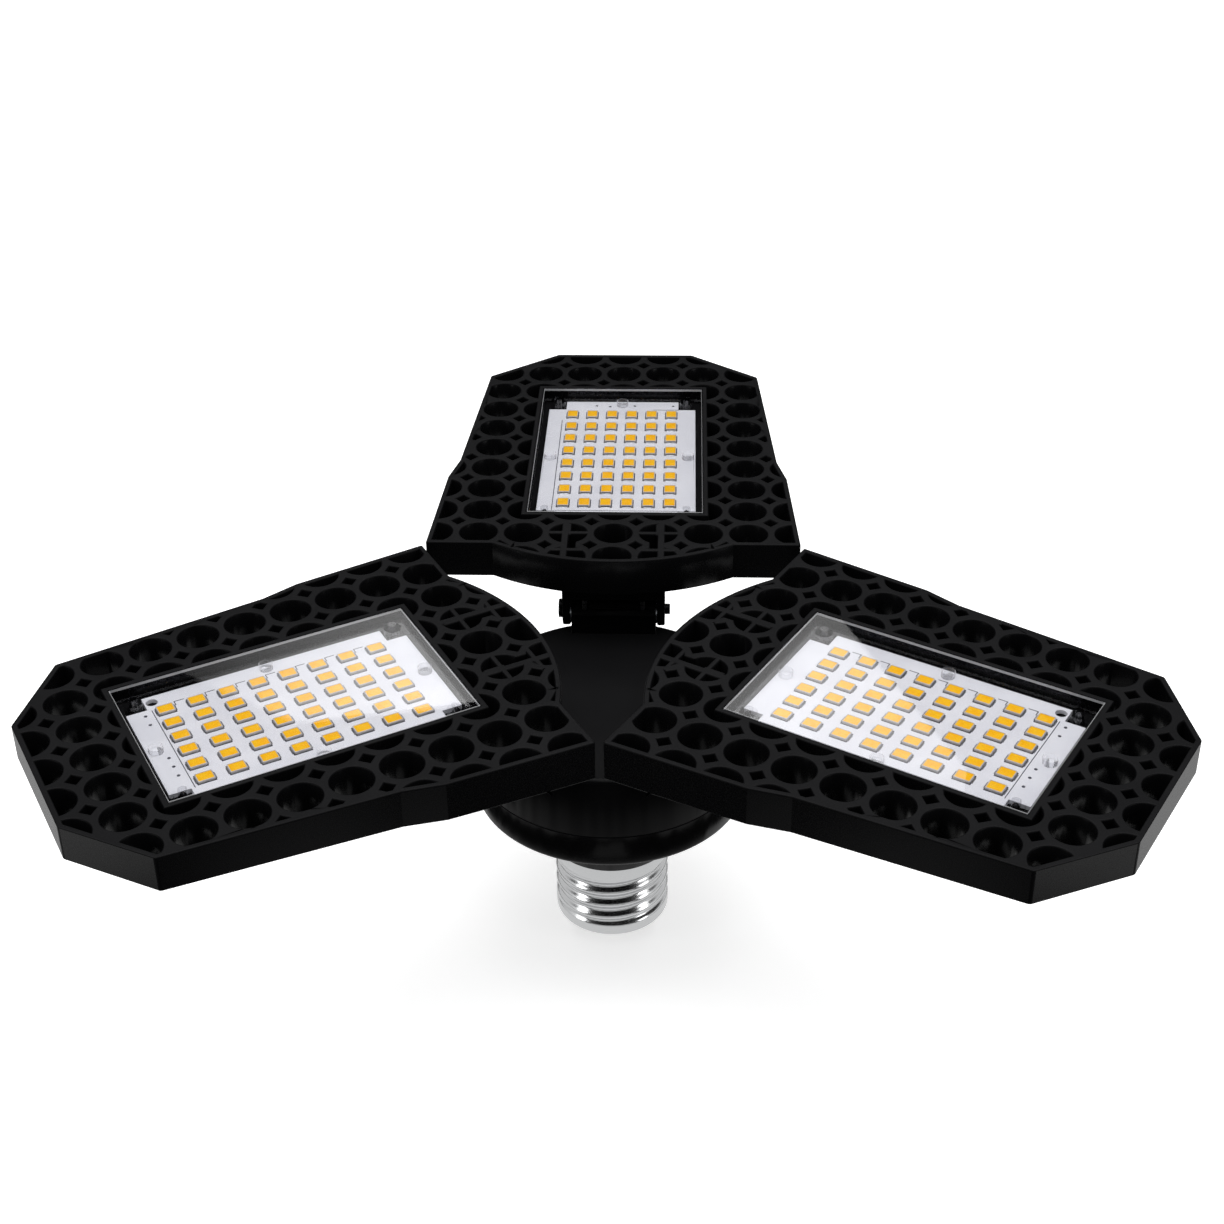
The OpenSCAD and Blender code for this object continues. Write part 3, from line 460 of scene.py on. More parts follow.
# %% Define the shape helpers
def skin(rings, closed_stack=False):
    """The faces that join a stack of rings: each point to the next one on its ring and to the same pair
    on the ring above. An open stack gets a face over its first and its last ring."""
    count, points = rings.shape[:2]
    index = np.arange(count * points).reshape(count, points)
    upper = np.roll(index, -1, axis=0) if closed_stack else index[1:]
    lower = index if closed_stack else index[:-1]
    quads = np.stack([lower, np.roll(lower, -1, 1), np.roll(upper, -1, 1), upper], axis=-1)
    faces = quads.reshape(-1, 4).tolist()
    return faces if closed_stack else faces + [index[0][::-1].tolist(), index[-1].tolist()]


def repeated(form, places):
    """Copies of one stack of rings as points and faces: the form's points plus each place, and its skin's
    faces counted on for each copy."""
    points = form.reshape(-1, 3)
    faces = skin(form)
    everywhere = (points[None] + places[:, None]).reshape(-1, 3)
    starts = range(0, len(everywhere), len(points))
    return everywhere, [[i + start for i in face] for start in starts for face in faces]


def joined(parts):
    """Several forms as one list of points and one of faces."""
    counts = np.cumsum([0] + [len(points) for points, _ in parts])
    return (np.concatenate([points for points, _ in parts]),
            [[i + count for i in face] for (_, faces), count in zip(parts, counts) for face in faces])


def turned(points, panel):
    """Turns points of the rear panel about the upright axis to the same places on another panel."""
    angle = math.radians(PANELS[panel] - PANELS["rear"])
    c, s = math.cos(angle), math.sin(angle)
    return points.reshape(-1, 3) @ np.array([[c, s, 0], [-s, c, 0], [0, 0, 1]])


def new_piece(name, points, faces, finish, body, sharp_deg=35):
    """A mesh in metres, smooth except at edges sharper than sharp_deg, that rides on a body."""
    mesh = bpy.data.meshes.new(name)
    mesh.from_pydata(points.reshape(-1, 3).tolist(), [], faces)
    mesh.polygons.foreach_set("use_smooth", np.ones(len(mesh.polygons), dtype=bool))
    mesh.set_sharp_from_angle(angle=math.radians(sharp_deg))
    mesh.materials.append(finish)
    piece = bpy.data.objects.new(name, mesh)
    bpy.context.scene.collection.objects.link(piece)
    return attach(piece, body)


def rounded_rectangle(half_x, half_y, corner, per_corner=3):
    """A rounded rectangle as one ring: a quarter circle of radius corner in each corner, in turn."""
    quarter = np.linspace(0, math.pi / 2, per_corner)
    angle = np.concatenate([quarter + k * math.pi / 2 for k in range(4)])
    sign = np.repeat([[1, 1], [-1, 1], [-1, -1], [1, -1]], per_corner, axis=0)
    middle = sign * [half_x - corner, half_y - corner]
    return middle + corner * np.stack([np.cos(angle), np.sin(angle)], axis=-1)


def stacked(outlines, heights):
    """A stack of rings from flat outlines and the height of each."""
    return np.array([np.column_stack([o, np.full(len(o), h)]) for o, h in zip(outlines, heights)])


# %% [markdown]
# The rolled screw shell
#
# The thread of a lamp base is rolled into thin sheet, so the inside has the same wave as the outside. The
# solid has plain ring grooves in its place. Here the shell is one closed profile, down the outside, round
# the rolled lip and up the inside, carried round the axis. At each angle the wave's phase is moved by a
# part of one pitch, which makes the rings a helix, and the wave fades out towards the plain collar.

# %% Roll the screw shell
shell_low, shell_high = (np.array(v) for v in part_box("screw_shell"))
SHELL_R = shell_high[0]
SHELL_WALL = 0.35 * MM
THREAD_PITCH = 3.629 * MM
THREAD_DEPTH = 1.0 * MM
THREAD_FROM = shell_low[2] + 2.8 * MM
THREAD_TURNS = 4.0
THREAD_FADE = 0.45
LIP_RADIUS = 1.2 * MM
LIP_OPENING = 10.56 * MM
LIP_TUCK = 0.3  # how far the inside of the lip stands in, as a share of the wall


def smooth(t):
    """The smooth step: 0 below 0, 1 above 1, and 3t² - 2t³ between."""
    t = np.clip(t, 0, 1)
    return t * t * (3 - 2 * t)


def shell_rings(along=150, around=160):
    """Points of the shell on a grid of profile place by angle. The groove is half of one minus the cosine
    of the phase, where the phase is the height in pitches less the angle in turns, times a fade."""
    bend = np.linspace(0, math.pi / 2, 7)
    down = np.linspace(shell_high[2], shell_low[2] + LIP_RADIUS, along)
    outer = np.concatenate([np.column_stack([np.full(along, SHELL_R), down]),
                            np.column_stack([SHELL_R - LIP_RADIUS * (1 - np.cos(bend[1:])),
                                             shell_low[2] + LIP_RADIUS * (1 - np.sin(bend[1:]))]),
                            [[LIP_OPENING, shell_low[2]]]])
    inner = outer[::-1].copy()
    inner[:, 0] = np.minimum(inner[:, 0], SHELL_R - SHELL_WALL)
    inner[:, 0] -= np.where(inner[:, 1] > shell_low[2] + LIP_RADIUS, 0, SHELL_WALL * LIP_TUCK)
    inner[:, 0] = np.maximum(inner[:, 0], LIP_OPENING)
    inner[:, 1] = np.maximum(inner[:, 1], shell_low[2] + SHELL_WALL)
    profile = np.concatenate([outer, inner])
    angle = np.linspace(0, 2 * math.pi, around, endpoint=False)
    pitches = (profile[:, 1, None] - THREAD_FROM) / THREAD_PITCH
    fade = smooth(pitches / THREAD_FADE) * smooth((THREAD_TURNS - pitches) / THREAD_FADE)
    phase = 2 * math.pi * (pitches - angle[None] / (2 * math.pi))
    radius = profile[:, 0, None] - THREAD_DEPTH * (1 - np.cos(phase)) / 2 * fade
    return np.stack([radius * np.cos(angle), radius * np.sin(angle),
                     np.broadcast_to(profile[:, 1, None], radius.shape)], axis=-1)


shell_stack = shell_rings()[::-1]
shell = new_piece("rolled_screw_shell", shell_stack, skin(shell_stack, closed_stack=True), nickel,
                  "root", sharp_deg=60)
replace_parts(shell, "screw_shell")
print("screw shell:", len(shell.data.polygons), "faces, thread", THREAD_TURNS, "turns")

# %% [markdown]
# The LEDs
#
# Each board carries rows of surface-mounted LEDs. An LED is a small moulded tray with a chamfered rim.
# Its well is filled with phosphor silicone that bulges slightly, and a fillet of solder runs up each
# short end. There are 48 on each board, so each form has only a few dozen faces.

# %% Place the LEDs
board_low, board_high = (np.array(v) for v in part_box("rear_light_board"))
BOARD_MIDDLE = (board_low + board_high) / 2
BOARD_TOP = board_high[2]
BOARD_HALF = (board_high - board_low)[:2] / 2
LED_COLUMNS, LED_ROWS = 6, 8
LED_PITCH_X, LED_PITCH_Y = 5.1 * MM, 6.55 * MM
LED_HALF_X, LED_HALF_Y, LED_HEIGHT = 1.4 * MM, 1.75 * MM, 0.6 * MM

columns = (np.arange(LED_COLUMNS) - (LED_COLUMNS - 1) / 2) * LED_PITCH_X
rows = (np.arange(LED_ROWS) - (LED_ROWS - 1) / 2) * LED_PITCH_Y
led_places = np.array([[BOARD_MIDDLE[0] + x, BOARD_MIDDLE[1] + y, BOARD_TOP]
                       for x in columns for y in rows])
print(len(led_places), "LEDs on each board")

# %% Make the LEDs
def inset(amount_mm, corner_mm=0.15):
    """The LED's outline moved inwards, with corners of their own radius."""
    return rounded_rectangle(LED_HALF_X - amount_mm * MM, LED_HALF_Y - amount_mm * MM, corner_mm * MM)


CHAMFER, WELL_DEPTH, DOME = 0.06 * MM, 0.30 * MM, 0.10 * MM
TRAY_WALL_MM, WELL_CORNER_MM = 0.17, 0.2
# The tray goes up its outside, over the chamfer and the rim, and down into the well
tray = stacked([inset(0.02), inset(0), inset(0), inset(0.06),
                inset(TRAY_WALL_MM, WELL_CORNER_MM), inset(TRAY_WALL_MM + 0.08, WELL_CORNER_MM)],
               [0, 0.05 * MM, LED_HEIGHT - CHAMFER, LED_HEIGHT,
                LED_HEIGHT, LED_HEIGHT - WELL_DEPTH])
# The filling starts on the well's floor and ends in a low dome
filling = stacked([inset(TRAY_WALL_MM + 0.1, WELL_CORNER_MM), inset(TRAY_WALL_MM + 0.03, WELL_CORNER_MM),
                   inset(0.4, WELL_CORNER_MM), inset(0.8, WELL_CORNER_MM)],
                  [LED_HEIGHT - WELL_DEPTH + 0.01 * MM, LED_HEIGHT - 0.05 * MM,
                   LED_HEIGHT - 0.02 * MM, LED_HEIGHT - 0.05 * MM + DOME / 2])


def end_fillets():
    """Solder at both short ends: a concave quarter profile from the tray's end down to the board, with
    the same profile at each side of the pad."""
    reach, rise, half_width, under_tray = 0.42 * MM, 0.45 * MM, 1.05 * MM, -0.05 * MM
    t = np.linspace(0, math.pi / 2, 4)
    profile = np.column_stack([reach * (1 - np.sin(t)), rise * (1 - np.cos(t))])
    profile = np.concatenate([profile, [[under_tray, rise], [under_tray, 0]]])
    ends = []
    for side in (1, -1):
        left, right = (np.column_stack([np.full(len(profile), x), side * (LED_HALF_Y + profile[:, 0]),
                                        profile[:, 1]]) for x in (-half_width, half_width))
        ends.append(np.array([left, right] if side > 0 else [right, left]))
    return ends


solder_forms = end_fillets()
for panel in PANELS:
    body = panel + "_panel"
    for name, form, finish, slot, replaced in (
            ("led_trays", tray, package_white, "package_white", "_led_packages"),
            ("led_fillings", filling, phosphor, "phosphor", "_led_phosphor")):
        points, faces = repeated(form, led_places)
        piece = new_piece(f"{panel}_{name}", turned(points, panel), faces, finish, body)
        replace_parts(piece, panel + replaced)
    points, faces = joined([repeated(form, led_places) for form in solder_forms])
    new_piece(f"{panel}_led_solder", turned(points, panel), faces, joint_solder, body)
print("LED form:", len(skin(tray)), "faces a tray,", len(skin(filling)), "a filling")

# %% [markdown]
# The boards' small marks
#
# A board shows a few dark marks: test pads near its ends, a thin conductor beside the outer row of LEDs
# and short links between the LEDs of the far row, where the copper shows grey through the mask. A thin
# dark rim round each LED is painted shade, where the LED's edges shade the board. The two front boards
# also have a small hole by the far outer notch. The marks and rims are thin raised pieces, and the hole
# is cut right through a copy of the board. Lettering is left off.

# %% Draw the marks
MARK_HEIGHT = 0.03 * MM
LINE_HALF = 0.09 * MM
PAD_RADIUS = 0.38 * MM
# The painted shade round each LED: how far it reaches past the LED, its corner and its height
SHADE_RIM_WIDTH = 0.22 * MM
SHADE_RIM_CORNER = 0.1 * MM
SHADE_RIM_HEIGHT = 0.015 * MM


def pad_form():
    """A low round pad of twelve sides."""
    circle = rounded_rectangle(PAD_RADIUS, PAD_RADIUS, PAD_RADIUS)
    return stacked([circle, circle, circle * 0.85], [0, MARK_HEIGHT * 0.6, MARK_HEIGHT])


def line_form(start, end):
    """A low bar from one point to another: a rectangle along the line, as wide as the line is."""
    start, end = np.array(start) * MM, np.array(end) * MM
    along = (end - start) / np.linalg.norm(end - start) * LINE_HALF
    across = np.array([-along[1], along[0]])
    outline = np.array([start - along - across, end + along - across, end + along + across,
                        start - along + across])
    return stacked([outline, outline], [0, MARK_HEIGHT])


def board_marks_and_painted_shade(side):
    """Pads, lines and the painted shade rims round the LEDs of one board, placed in millimetres from its
    middle. side is 1 or -1 for a front board, whose far edge lies on that side, and 0 for the rear one."""
    if side:
        pads = [(side * x, 27.2) for x in (12.6, 9.3, -3.2, -6.3, -9.5)]
        lines = [((side * 13.9, 25.5), (side * -14.6, 25.5))]
        outside, inside = side * 14.9, side * 13.6
        for start, end in zip(rows[:-1] / MM + 2.2, rows[:-1] / MM + 4.2):
            lines += [((outside, start), (outside, end)), ((outside, end), (inside, end))]
    else:
        pads = [(-7.5, -28.4), (6.0, -28.4), (-6.7, 28.4), (-3.2, 28.0), (3.2, 28.4), (13.2, 28.4)]
        lines = [((-15.3, -26), (-15.3, 20)), ((-14.5, -26.3), (14.5, -26.3)),
                 ((8, 26.2), (14.6, 26.2))]
    origin = np.array([[BOARD_MIDDLE[0], BOARD_MIDDLE[1], BOARD_TOP]])
    pad_places = origin + np.array([[x * MM, y * MM, 0] for x, y in pads])
    # A thin dark rim round each LED: painted shade at its edges
    shade_rim = rounded_rectangle(LED_HALF_X + SHADE_RIM_WIDTH, LED_HALF_Y + SHADE_RIM_WIDTH,
                                  SHADE_RIM_CORNER, 2)
    shade_rim = stacked([shade_rim, shade_rim], [0, SHADE_RIM_HEIGHT])
    forms = [repeated(pad_form(), pad_places), repeated(shade_rim, led_places)]
    return joined(forms + [repeated(line_form(*line), origin) for line in lines])


FAR_SIDE = {"rear": 0, "left": 1, "right": -1}
for panel, side in FAR_SIDE.items():
    points, faces = board_marks_and_painted_shade(side)
    new_piece(f"{panel}_board_marks_and_painted_shade", turned(points, panel), faces, bare_copper_and_painted_shade, panel + "_panel")
print("marks on", len(FAR_SIDE), "boards")

# %% Cut the holes
HOLE_RADIUS = 1.2 * MM
HOLE_AT = (16.8 * MM, 24.7 * MM)
DRILL_DEPTH, DRILL_ABOVE = 3 * MM, 1 * MM
BOARD_EDGE_MM = 0.08


def drill(piece, panel, side):
    """Cuts a round hole through a board near its far outer notch, and keeps only the result."""
    circle = rounded_rectangle(HOLE_RADIUS, HOLE_RADIUS, HOLE_RADIUS, 7)
    tool_form = stacked([circle, circle], [-DRILL_DEPTH, DRILL_ABOVE])
    place = [BOARD_MIDDLE[0] + side * HOLE_AT[0], BOARD_MIDDLE[1] + HOLE_AT[1], BOARD_TOP]
    mesh = bpy.data.meshes.new("drill")
    mesh.from_pydata(turned(tool_form + place, panel).tolist(), [], skin(tool_form))
    tool = bpy.data.objects.new("drill", mesh)
    bpy.context.scene.collection.objects.link(tool)
    cut = piece.modifiers.new("hole", "BOOLEAN")
    cut.object, cut.operation, cut.solver = tool, "DIFFERENCE", "EXACT"
    bpy.context.view_layer.update()
    finished = piece.evaluated_get(bpy.context.evaluated_depsgraph_get())
    cut_mesh = bpy.data.meshes.new_from_object(finished)
    piece.modifiers.clear()
    piece.data = cut_mesh
    bpy.data.objects.remove(tool)
    bpy.data.meshes.remove(mesh)


for panel, side in FAR_SIDE.items():
    board = merged_copy(panel + "_light_board", panel + "_board_drilled")
    board.data.materials.append(white_mask)
    if side:
        drill(board, panel, side)
    soften(board, BOARD_EDGE_MM, 1)
    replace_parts(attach(board, panel + "_panel"), panel + "_light_board")
    print(panel, "board:", len(board.data.polygons), "faces")

# %% [markdown]
# The covers' edges and pegs
#
# A cover's flat faces stay as clear as they are. Its cut edge gets a painted highlight, a thin pale line
# where one looks at it through the plate, and so does the narrow radius along its top. The round sides of
# its pegs get painted highlights as pale outlines, while the posts in the corners, which their screws
# fill, hardly show. So the copy of the solid gets one finish for the plate, one for the edges and one for
# the pegs.

# %% Dress the covers
COVER_THICKNESS = 1.8 * MM
EDGE_RADIUS_MM = 0.07
NOTCH_HALF = 2.2 * MM
POST_REACH = 2.6 * MM
AT_TOP = 0.01 * MM
SHARP_FOLD = 0.8  # radians
PLATE, EDGE, PEG = 0, 1, 2
corner_signs = np.array([[x, y] for x in (-1, 1) for y in (-1, 1)])
corners = corner_signs * (BOARD_HALF - NOTCH_HALF) + BOARD_MIDDLE[:2]


def weigh_top_edges(mesh):
    """Gives a bevel weight to the edges of the top face: both ends at its height, and a sharp fold."""
    edges = bmesh.new()
    edges.from_mesh(mesh)
    marks = [float(min(v.co.z for v in edge.verts) > COVER_TOP - AT_TOP
                   and edge.calc_face_angle(0) > SHARP_FOLD) for edge in edges.edges]
    edges.free()
    mesh.attributes.new("bevel_weight_edge", "FLOAT", "EDGE").data.foreach_set("value", marks)


def cover_copy(panel):
    """A cover with its plate, its edges and its pegs told apart by height, slope and place."""
    node = panel + "_clear_cover"
    piece = merged_copy(node, panel + "_cover_polished_and_painted_highlights")
    for finish in (cover_clear, cover_edge_painted_highlight, cover_peg_painted_highlight):
        piece.data.materials.append(finish)
    middles = np.empty(len(piece.data.polygons) * 3)
    piece.data.polygons.foreach_get("center", middles)
    middles = middles.reshape(-1, 3)
    steep = slopes(piece.data) < STEEP
    posts = turned(np.column_stack([corners, np.zeros(4)]), panel)[:, :2]
    near_post = np.linalg.norm(middles[:, None, :2] - posts[None], axis=2).min(axis=1) < POST_REACH
    in_plate = middles[:, 2] > COVER_TOP - COVER_THICKNESS
    kinds = np.where(steep & in_plate, EDGE, np.where(steep & ~near_post, PEG, PLATE))
    piece.data.polygons.foreach_set("material_index", kinds.astype(np.int32))
    weigh_top_edges(piece.data)
    soften(piece, EDGE_RADIUS_MM, 1, edge_slot=EDGE, limit="WEIGHT")
    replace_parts(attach(piece, panel + "_panel"), node)


for panel in PANELS:
    cover_copy(panel)
print("covers:", len(PANELS))

# %% [markdown]
# The screws
#
# A screw is turned and then threaded: a flat head with rounded edges and a cross recess, and a shank with
# a cut helix. It is a surface of revolution worked out as rings from the middle of the head to the tip,
# with the recess pressed into the head and the helix cut into the shank as waves of the radius.

# %% Make the screws
FACE_FROM, FACE_TO, FACE_RINGS = 0.04, 0.93, 9  # the head's face, in shares of its radius
RECESS_REACH, RECESS_HALF, RECESS_DEPTH = 0.62, 0.16, 0.55  # in shares of the head's radius and height
THREAD_CUT = 0.14  # in shares of the shank's radius


def cross_recess(x, y, reach, half_width):
    """How deep the recess is, from 0 to 1: the larger of two bars that cross, each with sloping sides."""
    bars = [smooth((half_width - np.abs(a)) / (half_width * 0.6))
            * smooth((reach - np.abs(b)) / (reach * 0.35)) for a, b in ((x, y), (y, x))]
    return np.maximum(*bars)


def screw_rings(head_r, head_h, shank_r, length, pitch, around=24):
    """Rings of a screw that stands on its head at height 0 with its tip up. The head's face dips by the
    recess, and the shank's radius waves with the height in pitches less the angle in turns."""
    angle = np.linspace(0, 2 * math.pi, around, endpoint=False)
    edge = 0.18 * head_h
    face = [(r, 0.0) for r in np.linspace(FACE_FROM, FACE_TO, FACE_RINGS) * head_r]
    side = [(head_r - edge * 0.3, edge * 0.3), (head_r, edge),
            (head_r, head_h - edge * 0.3), (head_r - edge * 0.3, head_h)]
    shank = [(shank_r, z) for z in np.linspace(head_h, head_h + length - shank_r,
                                               max(12, int(length / pitch) * 5))]
    tip = [(shank_r * 0.6, head_h + length - shank_r * 0.35), (shank_r * 0.08, head_h + length)]
    radius, height = np.array(face + side + shank + tip).T
    ring = np.arange(len(radius))[:, None]
    r = np.broadcast_to(radius[:, None], (len(radius), around)).copy()
    z = np.broadcast_to(height[:, None], r.shape).copy()
    recess = cross_recess(r * np.cos(angle), r * np.sin(angle), RECESS_REACH * head_r,
                          RECESS_HALF * head_r)
    z += np.where(ring < len(face), recess * head_h * RECESS_DEPTH, 0)
    on_shank = (ring > len(face) + len(side)) & (ring < len(radius) - len(tip))
    wave = (1 - np.cos(2 * math.pi * (z / pitch - angle / (2 * math.pi)))) / 2
    r -= np.where(on_shank, THREAD_CUT * shank_r * wave, 0)
    return np.stack([r * np.cos(angle), -r * np.sin(angle), z], axis=-1)[:, ::-1]


cover_low, cover_high = (np.array(v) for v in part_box("rear_cover_screws"))
cover_places = np.column_stack([corners, np.full(len(corners), cover_low[2])])
COVER_HEAD_R, COVER_HEAD_H, COVER_SHANK_R, COVER_PITCH = 1.9 * MM, 1.2 * MM, 0.9 * MM, 0.7 * MM
cover_screw = screw_rings(COVER_HEAD_R, COVER_HEAD_H, COVER_SHANK_R,
                          cover_high[2] - cover_low[2] - COVER_HEAD_H, COVER_PITCH)
for panel in PANELS:
    points, faces = repeated(cover_screw, cover_places)
    piece = new_piece(f"{panel}_threaded_screws", turned(points, panel), faces, black_oxide,
                      panel + "_panel")
    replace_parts(piece, panel + "_cover_screws")

housing_low, housing_high = (np.array(v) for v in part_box("housing_screws"))
HOUSING_RING, HOUSING_BEARINGS = 25 * MM, np.radians([150, 270, 30])
HOUSING_HEAD_R, HOUSING_HEAD_H, HOUSING_SHANK_R, HOUSING_PITCH = 3.0 * MM, 2.0 * MM, 1.5 * MM, 1.3 * MM
housing_screw = screw_rings(HOUSING_HEAD_R, HOUSING_HEAD_H, HOUSING_SHANK_R,
                            housing_high[2] - housing_low[2] - HOUSING_HEAD_H, HOUSING_PITCH)
housing_places = np.column_stack([HOUSING_RING * np.cos(HOUSING_BEARINGS),
                                  HOUSING_RING * np.sin(HOUSING_BEARINGS),
                                  np.full(len(HOUSING_BEARINGS), housing_low[2])])
points, faces = repeated(housing_screw, housing_places)
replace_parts(new_piece("threaded_housing_screws", points, faces, zinc, "root"), "housing_screws")
print("screws:", len(PANELS) * len(cover_places) + len(housing_places))

# %% [markdown]
# The studio
#
# A wide softbox hangs overhead, and two tall ones stand at the sides. Gloss needs something to mirror or
# it looks like a hole, so a few white cards stand where they are seen only as reflections: two behind the
# object, which lay the pale veils on the clear covers, three on the floor in front, which the panels'
# ends and the housing's rim mirror, and three for the nickel of the base, one on the floor, one that
# stands in front and one round the back.

# %% Build the lights
def softbox(name, place, width, height, power):
    """A rectangular area light at a place, turned to face the object's middle."""
    lamp = bpy.data.lights.new(name, "AREA")
    lamp.shape = "RECTANGLE"
    lamp.size, lamp.size_y, lamp.energy = width, height, power
    holder = bpy.data.objects.new(name, lamp)
    bpy.context.scene.collection.objects.link(holder)
    holder.location = place
    holder.rotation_euler = (MIDDLE - Vector(place)).to_track_quat("-Z", "Y").to_euler()


MIDDLE = Vector((0, 0, 0.07))
softbox("softbox_overhead", (0, 0, 1.5), width=2.1, height=1.9, power=38)
softbox("softbox_left", (-1.3, -0.7, 0.55), width=0.5, height=0.9, power=5)
softbox("softbox_right", (1.3, -0.7, 0.55), width=0.5, height=0.9, power=5)
print("softboxes: 3")

# %% Define the cards
def glowing_paper(name, from_x, to_x, start, end):
    """A paper that glows with strength start up to from_x, with strength end beyond to_x, and evenly
    from one to the other between them."""
    material = bpy.data.materials.new(name)
    material.use_nodes = True
    tree = material.node_tree
    tree.nodes.clear()
    place = add_node(tree, "ShaderNodeTexCoord")
    x = add_node(tree, "ShaderNodeSeparateXYZ", links={0: place.outputs["Object"]}).outputs["X"]
    strength = add_node(tree, "ShaderNodeMapRange", {"From Min": from_x, "From Max": to_x,
                                                     "To Min": start, "To Max": end}, {"Value": x})
    glow = add_node(tree, "ShaderNodeEmission", links={"Strength": strength.outputs[0]})
    add_node(tree, "ShaderNodeOutputMaterial", links={"Surface": glow.outputs[0]})
    material.cycles.emission_sampling = "NONE"
    return material


def card(name, sheets, start, end=None, from_x=-1, to_x=1):
    """Sheets that only mirrors see, each a list of corners, of one even strength or of two that go over
    into each other."""
    mesh = bpy.data.meshes.new(name)
    counts = np.cumsum([0] + [len(sheet) for sheet in sheets])
    mesh.from_pydata([corner for sheet in sheets for corner in sheet], [],
                     [list(range(a, b)) for a, b in zip(counts[:-1], counts[1:])])
    end = start if end is None else end
    mesh.materials.append(glowing_paper(name + "_paper", from_x, to_x, start, end))
    sheet = bpy.data.objects.new(name, mesh)
    bpy.context.scene.collection.objects.link(sheet)
    sheet.visible_camera = sheet.visible_diffuse = sheet.visible_shadow = False
    sheet.visible_transmission = sheet.visible_volume_scatter = False


# %% Set up the cards behind the object
# Their slanting sides, mirrored in the covers, draw the edge of the veil across each front window
CARD_Y = 1.0
LEFT_CARD = ((-0.56, 0.66), (-0.13, 0.66), (-0.13, 0.828), (-0.222, 0.842), (-0.315, 0.855),
             (-0.406, 0.805), (-0.56, 0.72))
RIGHT_CARD = ((0.02, 0.70), (0.112, 0.70), (0.151, 0.750), (0.222, 0.843), (0.262, 0.896),
              (0.262, 1.02), (0.02, 1.02))
card("card_behind_left", [[(x, CARD_Y, z) for x, z in LEFT_CARD]], 0.1, 2.7, -0.43, -0.16)
card("card_behind_right", [[(x, CARD_Y, z) for x, z in RIGHT_CARD]], 2.3, 1.0, 0.05, 0.26)
print("cards behind: 2")

# %% Set up the cards in front
# The outer two share one outline, turned over for the left side, and glow less towards their outer ends
CARD_Z = 0.0004
FRONT_CARD = ((0.138, -0.27), (0.21, -0.27), (0.40, -0.07), (0.40, 0.04), (0.29, 0.04),
              (0.138, -0.174))
MIDDLE_CARD = ((-0.022, -0.17), (0.022, -0.17), (0.022, -0.09), (-0.022, -0.09))
card("card_in_front_left", [[(-x, y, CARD_Z) for x, y in FRONT_CARD]], 0.8, 1.1, -0.33, -0.17)
card("card_in_front_right", [[(x, y, CARD_Z) for x, y in FRONT_CARD]], 1.25, 0.45, 0.17, 0.33)
card("card_in_front_middle", [[(x, y, CARD_Z) for x, y in MIDDLE_CARD]], 0.4)
print("cards in front: 3")

# %% Set up the cards for the base
# The thread's upper flanks mirror the two standing cards, and its lower flanks the one on the floor
BASE_CARD_R = 0.075
STANDING_HALF, STANDING_Y, STANDING_TOP = 0.25, -0.30, 0.11
BACK_CARD_R, BACK_CARD_TOP = 0.16, 0.072
around = np.linspace(0, 2 * math.pi, 48, endpoint=False)
card("card_under_the_base", [[(BASE_CARD_R * math.cos(a), BASE_CARD_R * math.sin(a), CARD_Z)
                              for a in around]], 0.75)
card("card_standing_in_front", [[(-STANDING_HALF, STANDING_Y, CARD_Z),
                                 (STANDING_HALF, STANDING_Y, CARD_Z),
                                 (STANDING_HALF, STANDING_Y, STANDING_TOP),
                                 (-STANDING_HALF, STANDING_Y, STANDING_TOP)]], 0.6)
bends = [(BACK_CARD_R * math.cos(a), BACK_CARD_R * math.sin(a))
         for a in np.radians(np.linspace(-25, 205, 24))]
card("card_round_the_back", [[(*a, CARD_Z), (*b, CARD_Z), (*b, BACK_CARD_TOP), (*a, BACK_CARD_TOP)]
                             for a, b in zip(bends[:-1], bends[1:])], 0.7)
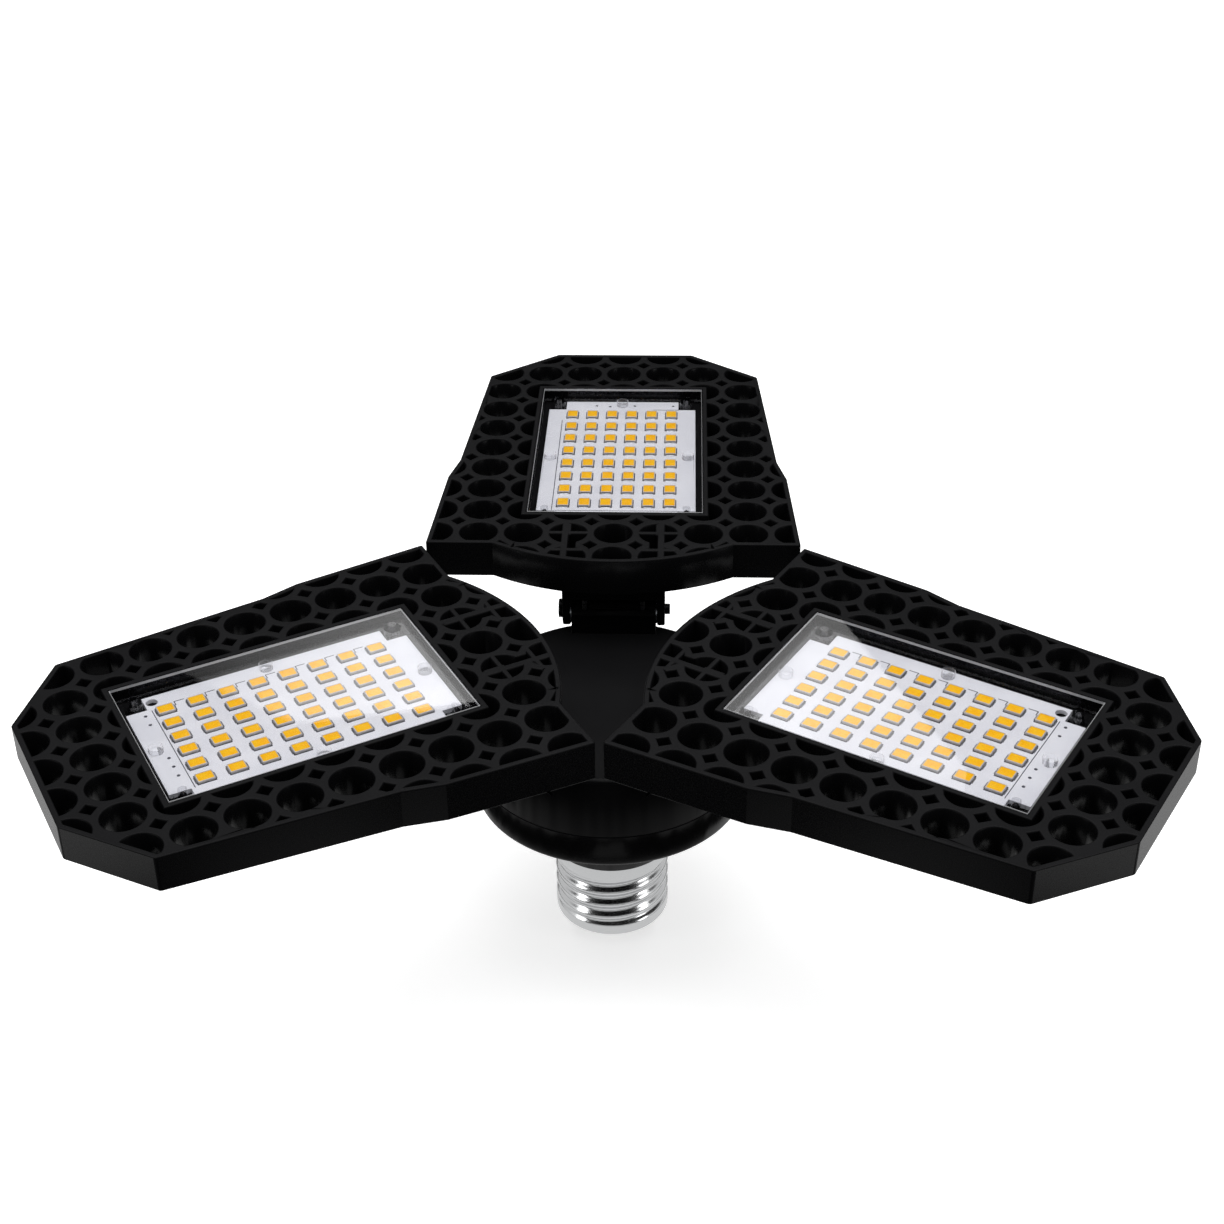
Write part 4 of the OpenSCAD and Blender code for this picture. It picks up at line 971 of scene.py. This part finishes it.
print("cards for the base: 3")

# %% [markdown]
# The floor and the room
#
# The floor is a pale disc that sweeps up into a wall, so no horizon shows. It glows a little, as if lit
# from below, and it sends no light back to the object, so the black walls stay black as in a room with
# dark walls. The room gives the rest of the light, softly and from all sides.

# %% Lay the floor
FLOOR_R, SWEEP_R, WALL_TOP_Z = 6.0, 2.0, 7.0
FLOOR_SIDES = 96
sweep = np.linspace(0, math.pi / 2, 9)
reach = np.append(FLOOR_R + SWEEP_R * np.sin(sweep), FLOOR_R + SWEEP_R)[:, None]
rise = np.append(SWEEP_R * (1 - np.cos(sweep)), WALL_TOP_Z)[:, None]
around = np.linspace(0, 2 * math.pi, FLOOR_SIDES, endpoint=False)
floor_rings = np.stack([reach * np.cos(around), reach * np.sin(around),
                        np.broadcast_to(rise, (len(rise), FLOOR_SIDES))], axis=-1)
floor_mesh = bpy.data.meshes.new("floor")
sweep_faces = skin(floor_rings)[:-2]
floor_mesh.from_pydata(floor_rings.reshape(-1, 3).tolist(), [], sweep_faces + [list(range(FLOOR_SIDES))])
floor = bpy.data.objects.new("floor", floor_mesh)
bpy.context.scene.collection.objects.link(floor)
floor_paint = coated("floor_paint", "#F4F4F4", "#F7F7F7", 0.6, 400.0)
floor_shader = next(n for n in floor_paint.node_tree.nodes if n.type == "BSDF_PRINCIPLED")
floor_shader.inputs["Emission Color"].default_value = linear("#FFFFFF")
floor_shader.inputs["Emission Strength"].default_value = 0.55
floor_paint.cycles.emission_sampling = "NONE"
floor_mesh.materials.append(floor_paint)
floor.visible_glossy = floor.visible_diffuse = floor.visible_shadow = False
print("floor:", len(floor_mesh.polygons), "faces")

# %% Light the room
world = bpy.data.worlds.new("studio")
bpy.context.scene.world = world
world.use_nodes = True
background = world.node_tree.nodes["Background"]
background.inputs["Color"].default_value = linear("#FFFFFF")
background.inputs["Strength"].default_value = 0.15
world.cycles_visibility.glossy = False
bpy.context.scene.view_settings.view_transform = "Standard"
print("room light:", background.inputs["Strength"].default_value)
